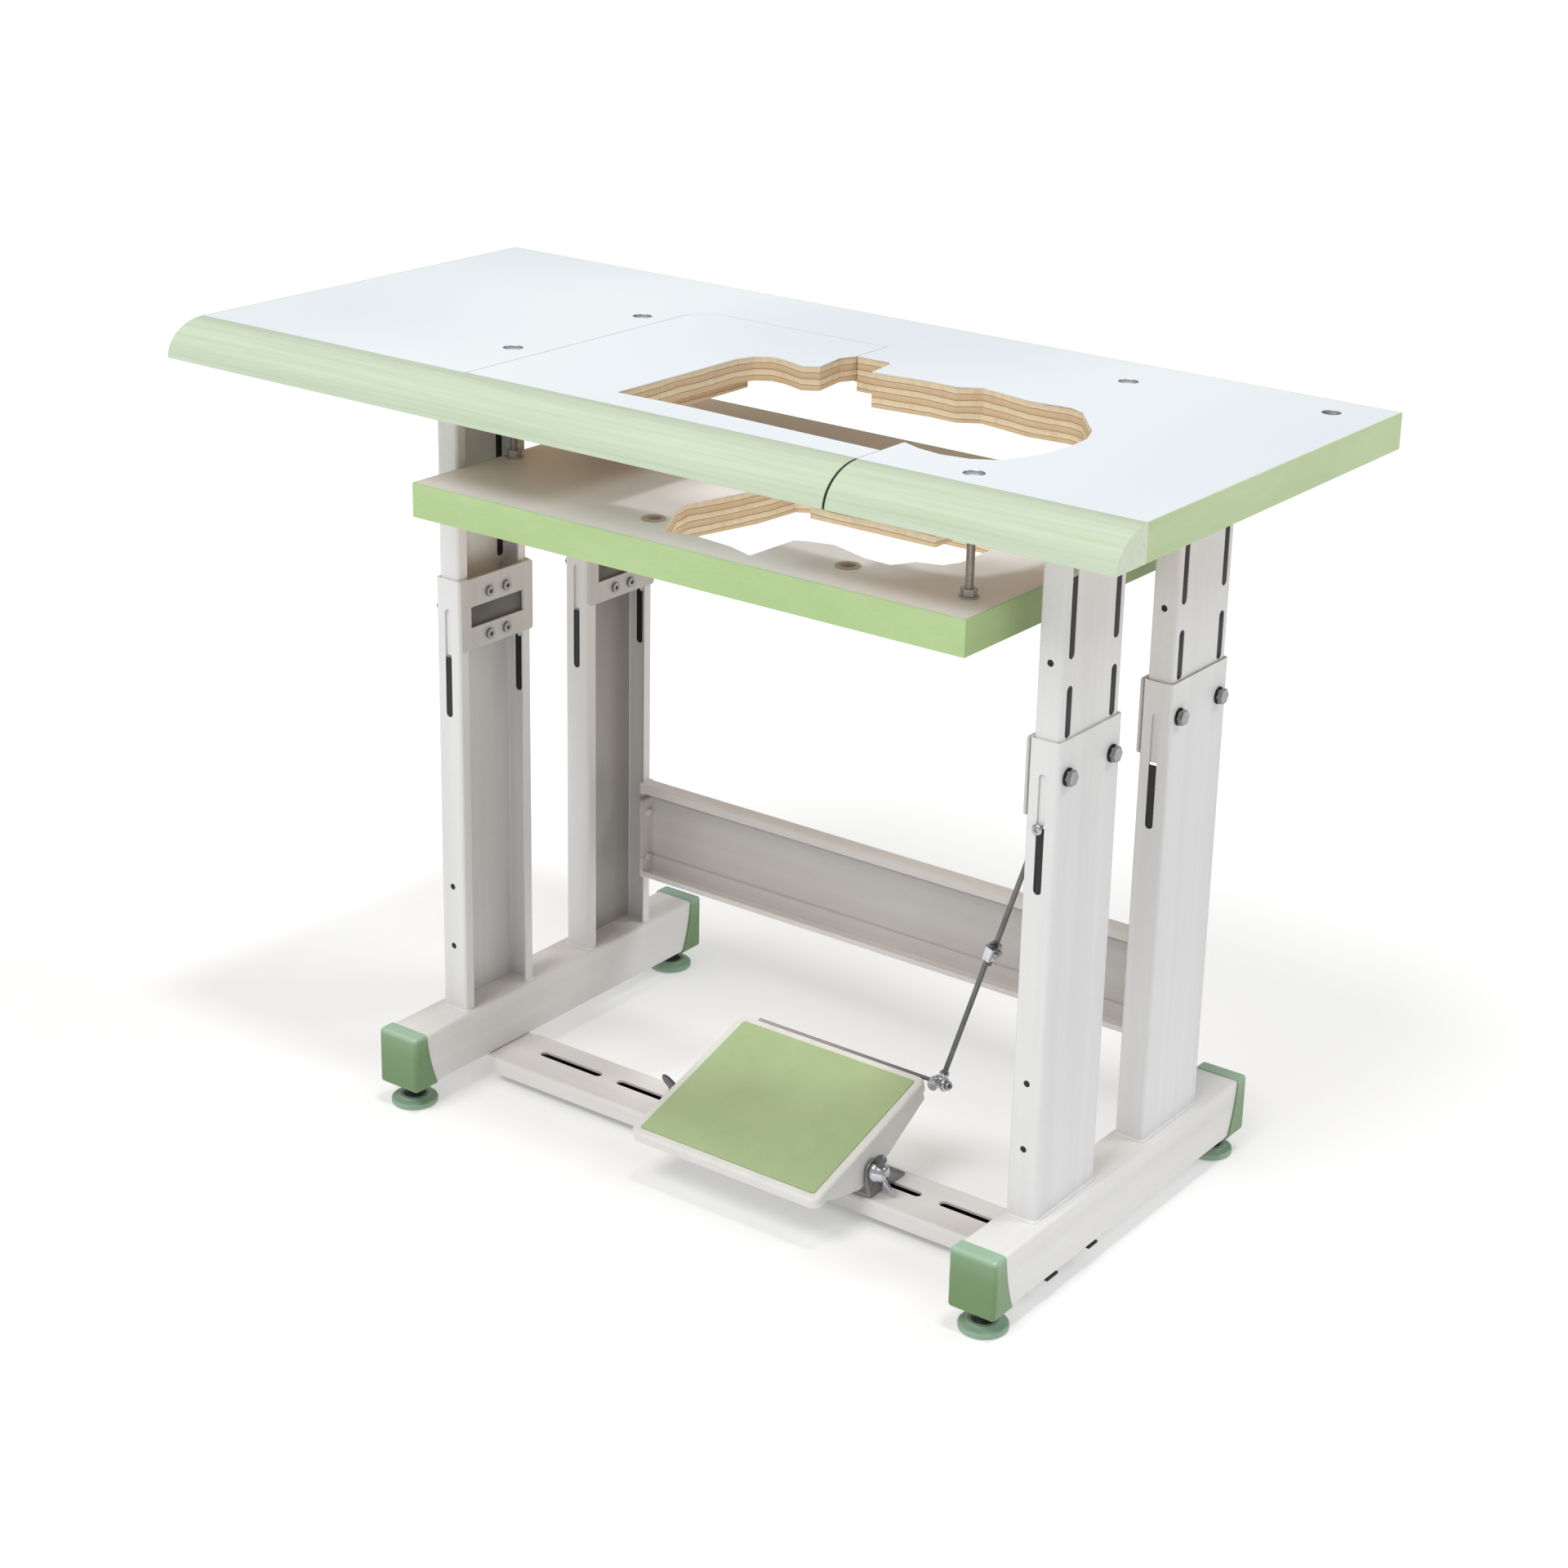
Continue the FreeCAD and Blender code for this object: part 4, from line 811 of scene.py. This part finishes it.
# ------------------------------------------------------------------ floor and light
bpy.ops.mesh.primitive_plane_add(size=60.0, location=(0, 0, -0.0006))
floor = bpy.context.object
floor.name = "studio_floor"
fm = Mat("studio_floor", Roughness=0.9)
fm.set("Specular IOR Level", 0.0)
fm.color(fm.ramp(fm.noise(0.7, 2.0), [(0.3, (0.655, 0.655, 0.655, 1)), (0.7, (0.67, 0.67, 0.67, 1))]))
fm.set("Emission Color", (1.0, 1.0, 0.995, 1.0))
fm.set("Emission Strength", 0.32)
floor.data.materials.append(fm.m)

world = bpy.data.worlds.new("studio")
scene.world = world
world.use_nodes = True
wt = world.node_tree
wt.nodes.clear()
wo = wt.nodes.new("ShaderNodeOutputWorld")
bg = wt.nodes.new("ShaderNodeBackground")
tc = wt.nodes.new("ShaderNodeTexCoord")
dot = wt.nodes.new("ShaderNodeVectorMath")
dot.operation = "DOT_PRODUCT"
dot.inputs[1].default_value = Vector((-0.40, -0.66, 0.62)).normalized()
mr = wt.nodes.new("ShaderNodeMapRange")
mr.interpolation_type = "SMOOTHSTEP"
mr.inputs[1].default_value = -0.75
mr.inputs[2].default_value = 0.95
mr.inputs[3].default_value = 0.20
mr.inputs[4].default_value = 0.54
wt.links.new(tc.outputs["Generated"], dot.inputs[0])
wt.links.new(dot.outputs["Value"], mr.inputs[0])
wt.links.new(mr.outputs[0], bg.inputs["Strength"])
bg.inputs["Color"].default_value = (0.985, 0.995, 1.0, 1.0)
wt.links.new(bg.outputs[0], wo.inputs[0])

sun_d = bpy.data.lights.new("overhead", "SUN")
sun_d.energy = 0.80
sun_d.angle = math.radians(7.0)
sun_d.color = (1.0, 0.99, 0.97)
sun = bpy.data.objects.new("overhead", sun_d)
scene.collection.objects.link(sun)
sun.rotation_euler = Vector((0.15, -0.05, 1.0)).to_track_quat("Z", "Y").to_euler()

key_d = bpy.data.lights.new("front_key", "SUN")
key_d.energy = 1.28
key_d.angle = math.radians(24.0)
key_d.color = (1.0, 0.994, 0.985)
key = bpy.data.objects.new("front_key", key_d)
scene.collection.objects.link(key)
key.rotation_euler = Vector((-0.05, -0.55, 0.84)).to_track_quat("Z", "Y").to_euler()

fill_d = bpy.data.lights.new("right_fill", "SUN")
fill_d.energy = 0.70
fill_d.angle = math.radians(18.0)
fill_d.color = (0.95, 0.98, 1.0)
fill = bpy.data.objects.new("right_fill", fill_d)
scene.collection.objects.link(fill)
fill.rotation_euler = Vector((0.75, 0.48, 1.0)).to_track_quat("Z", "Y").to_euler()
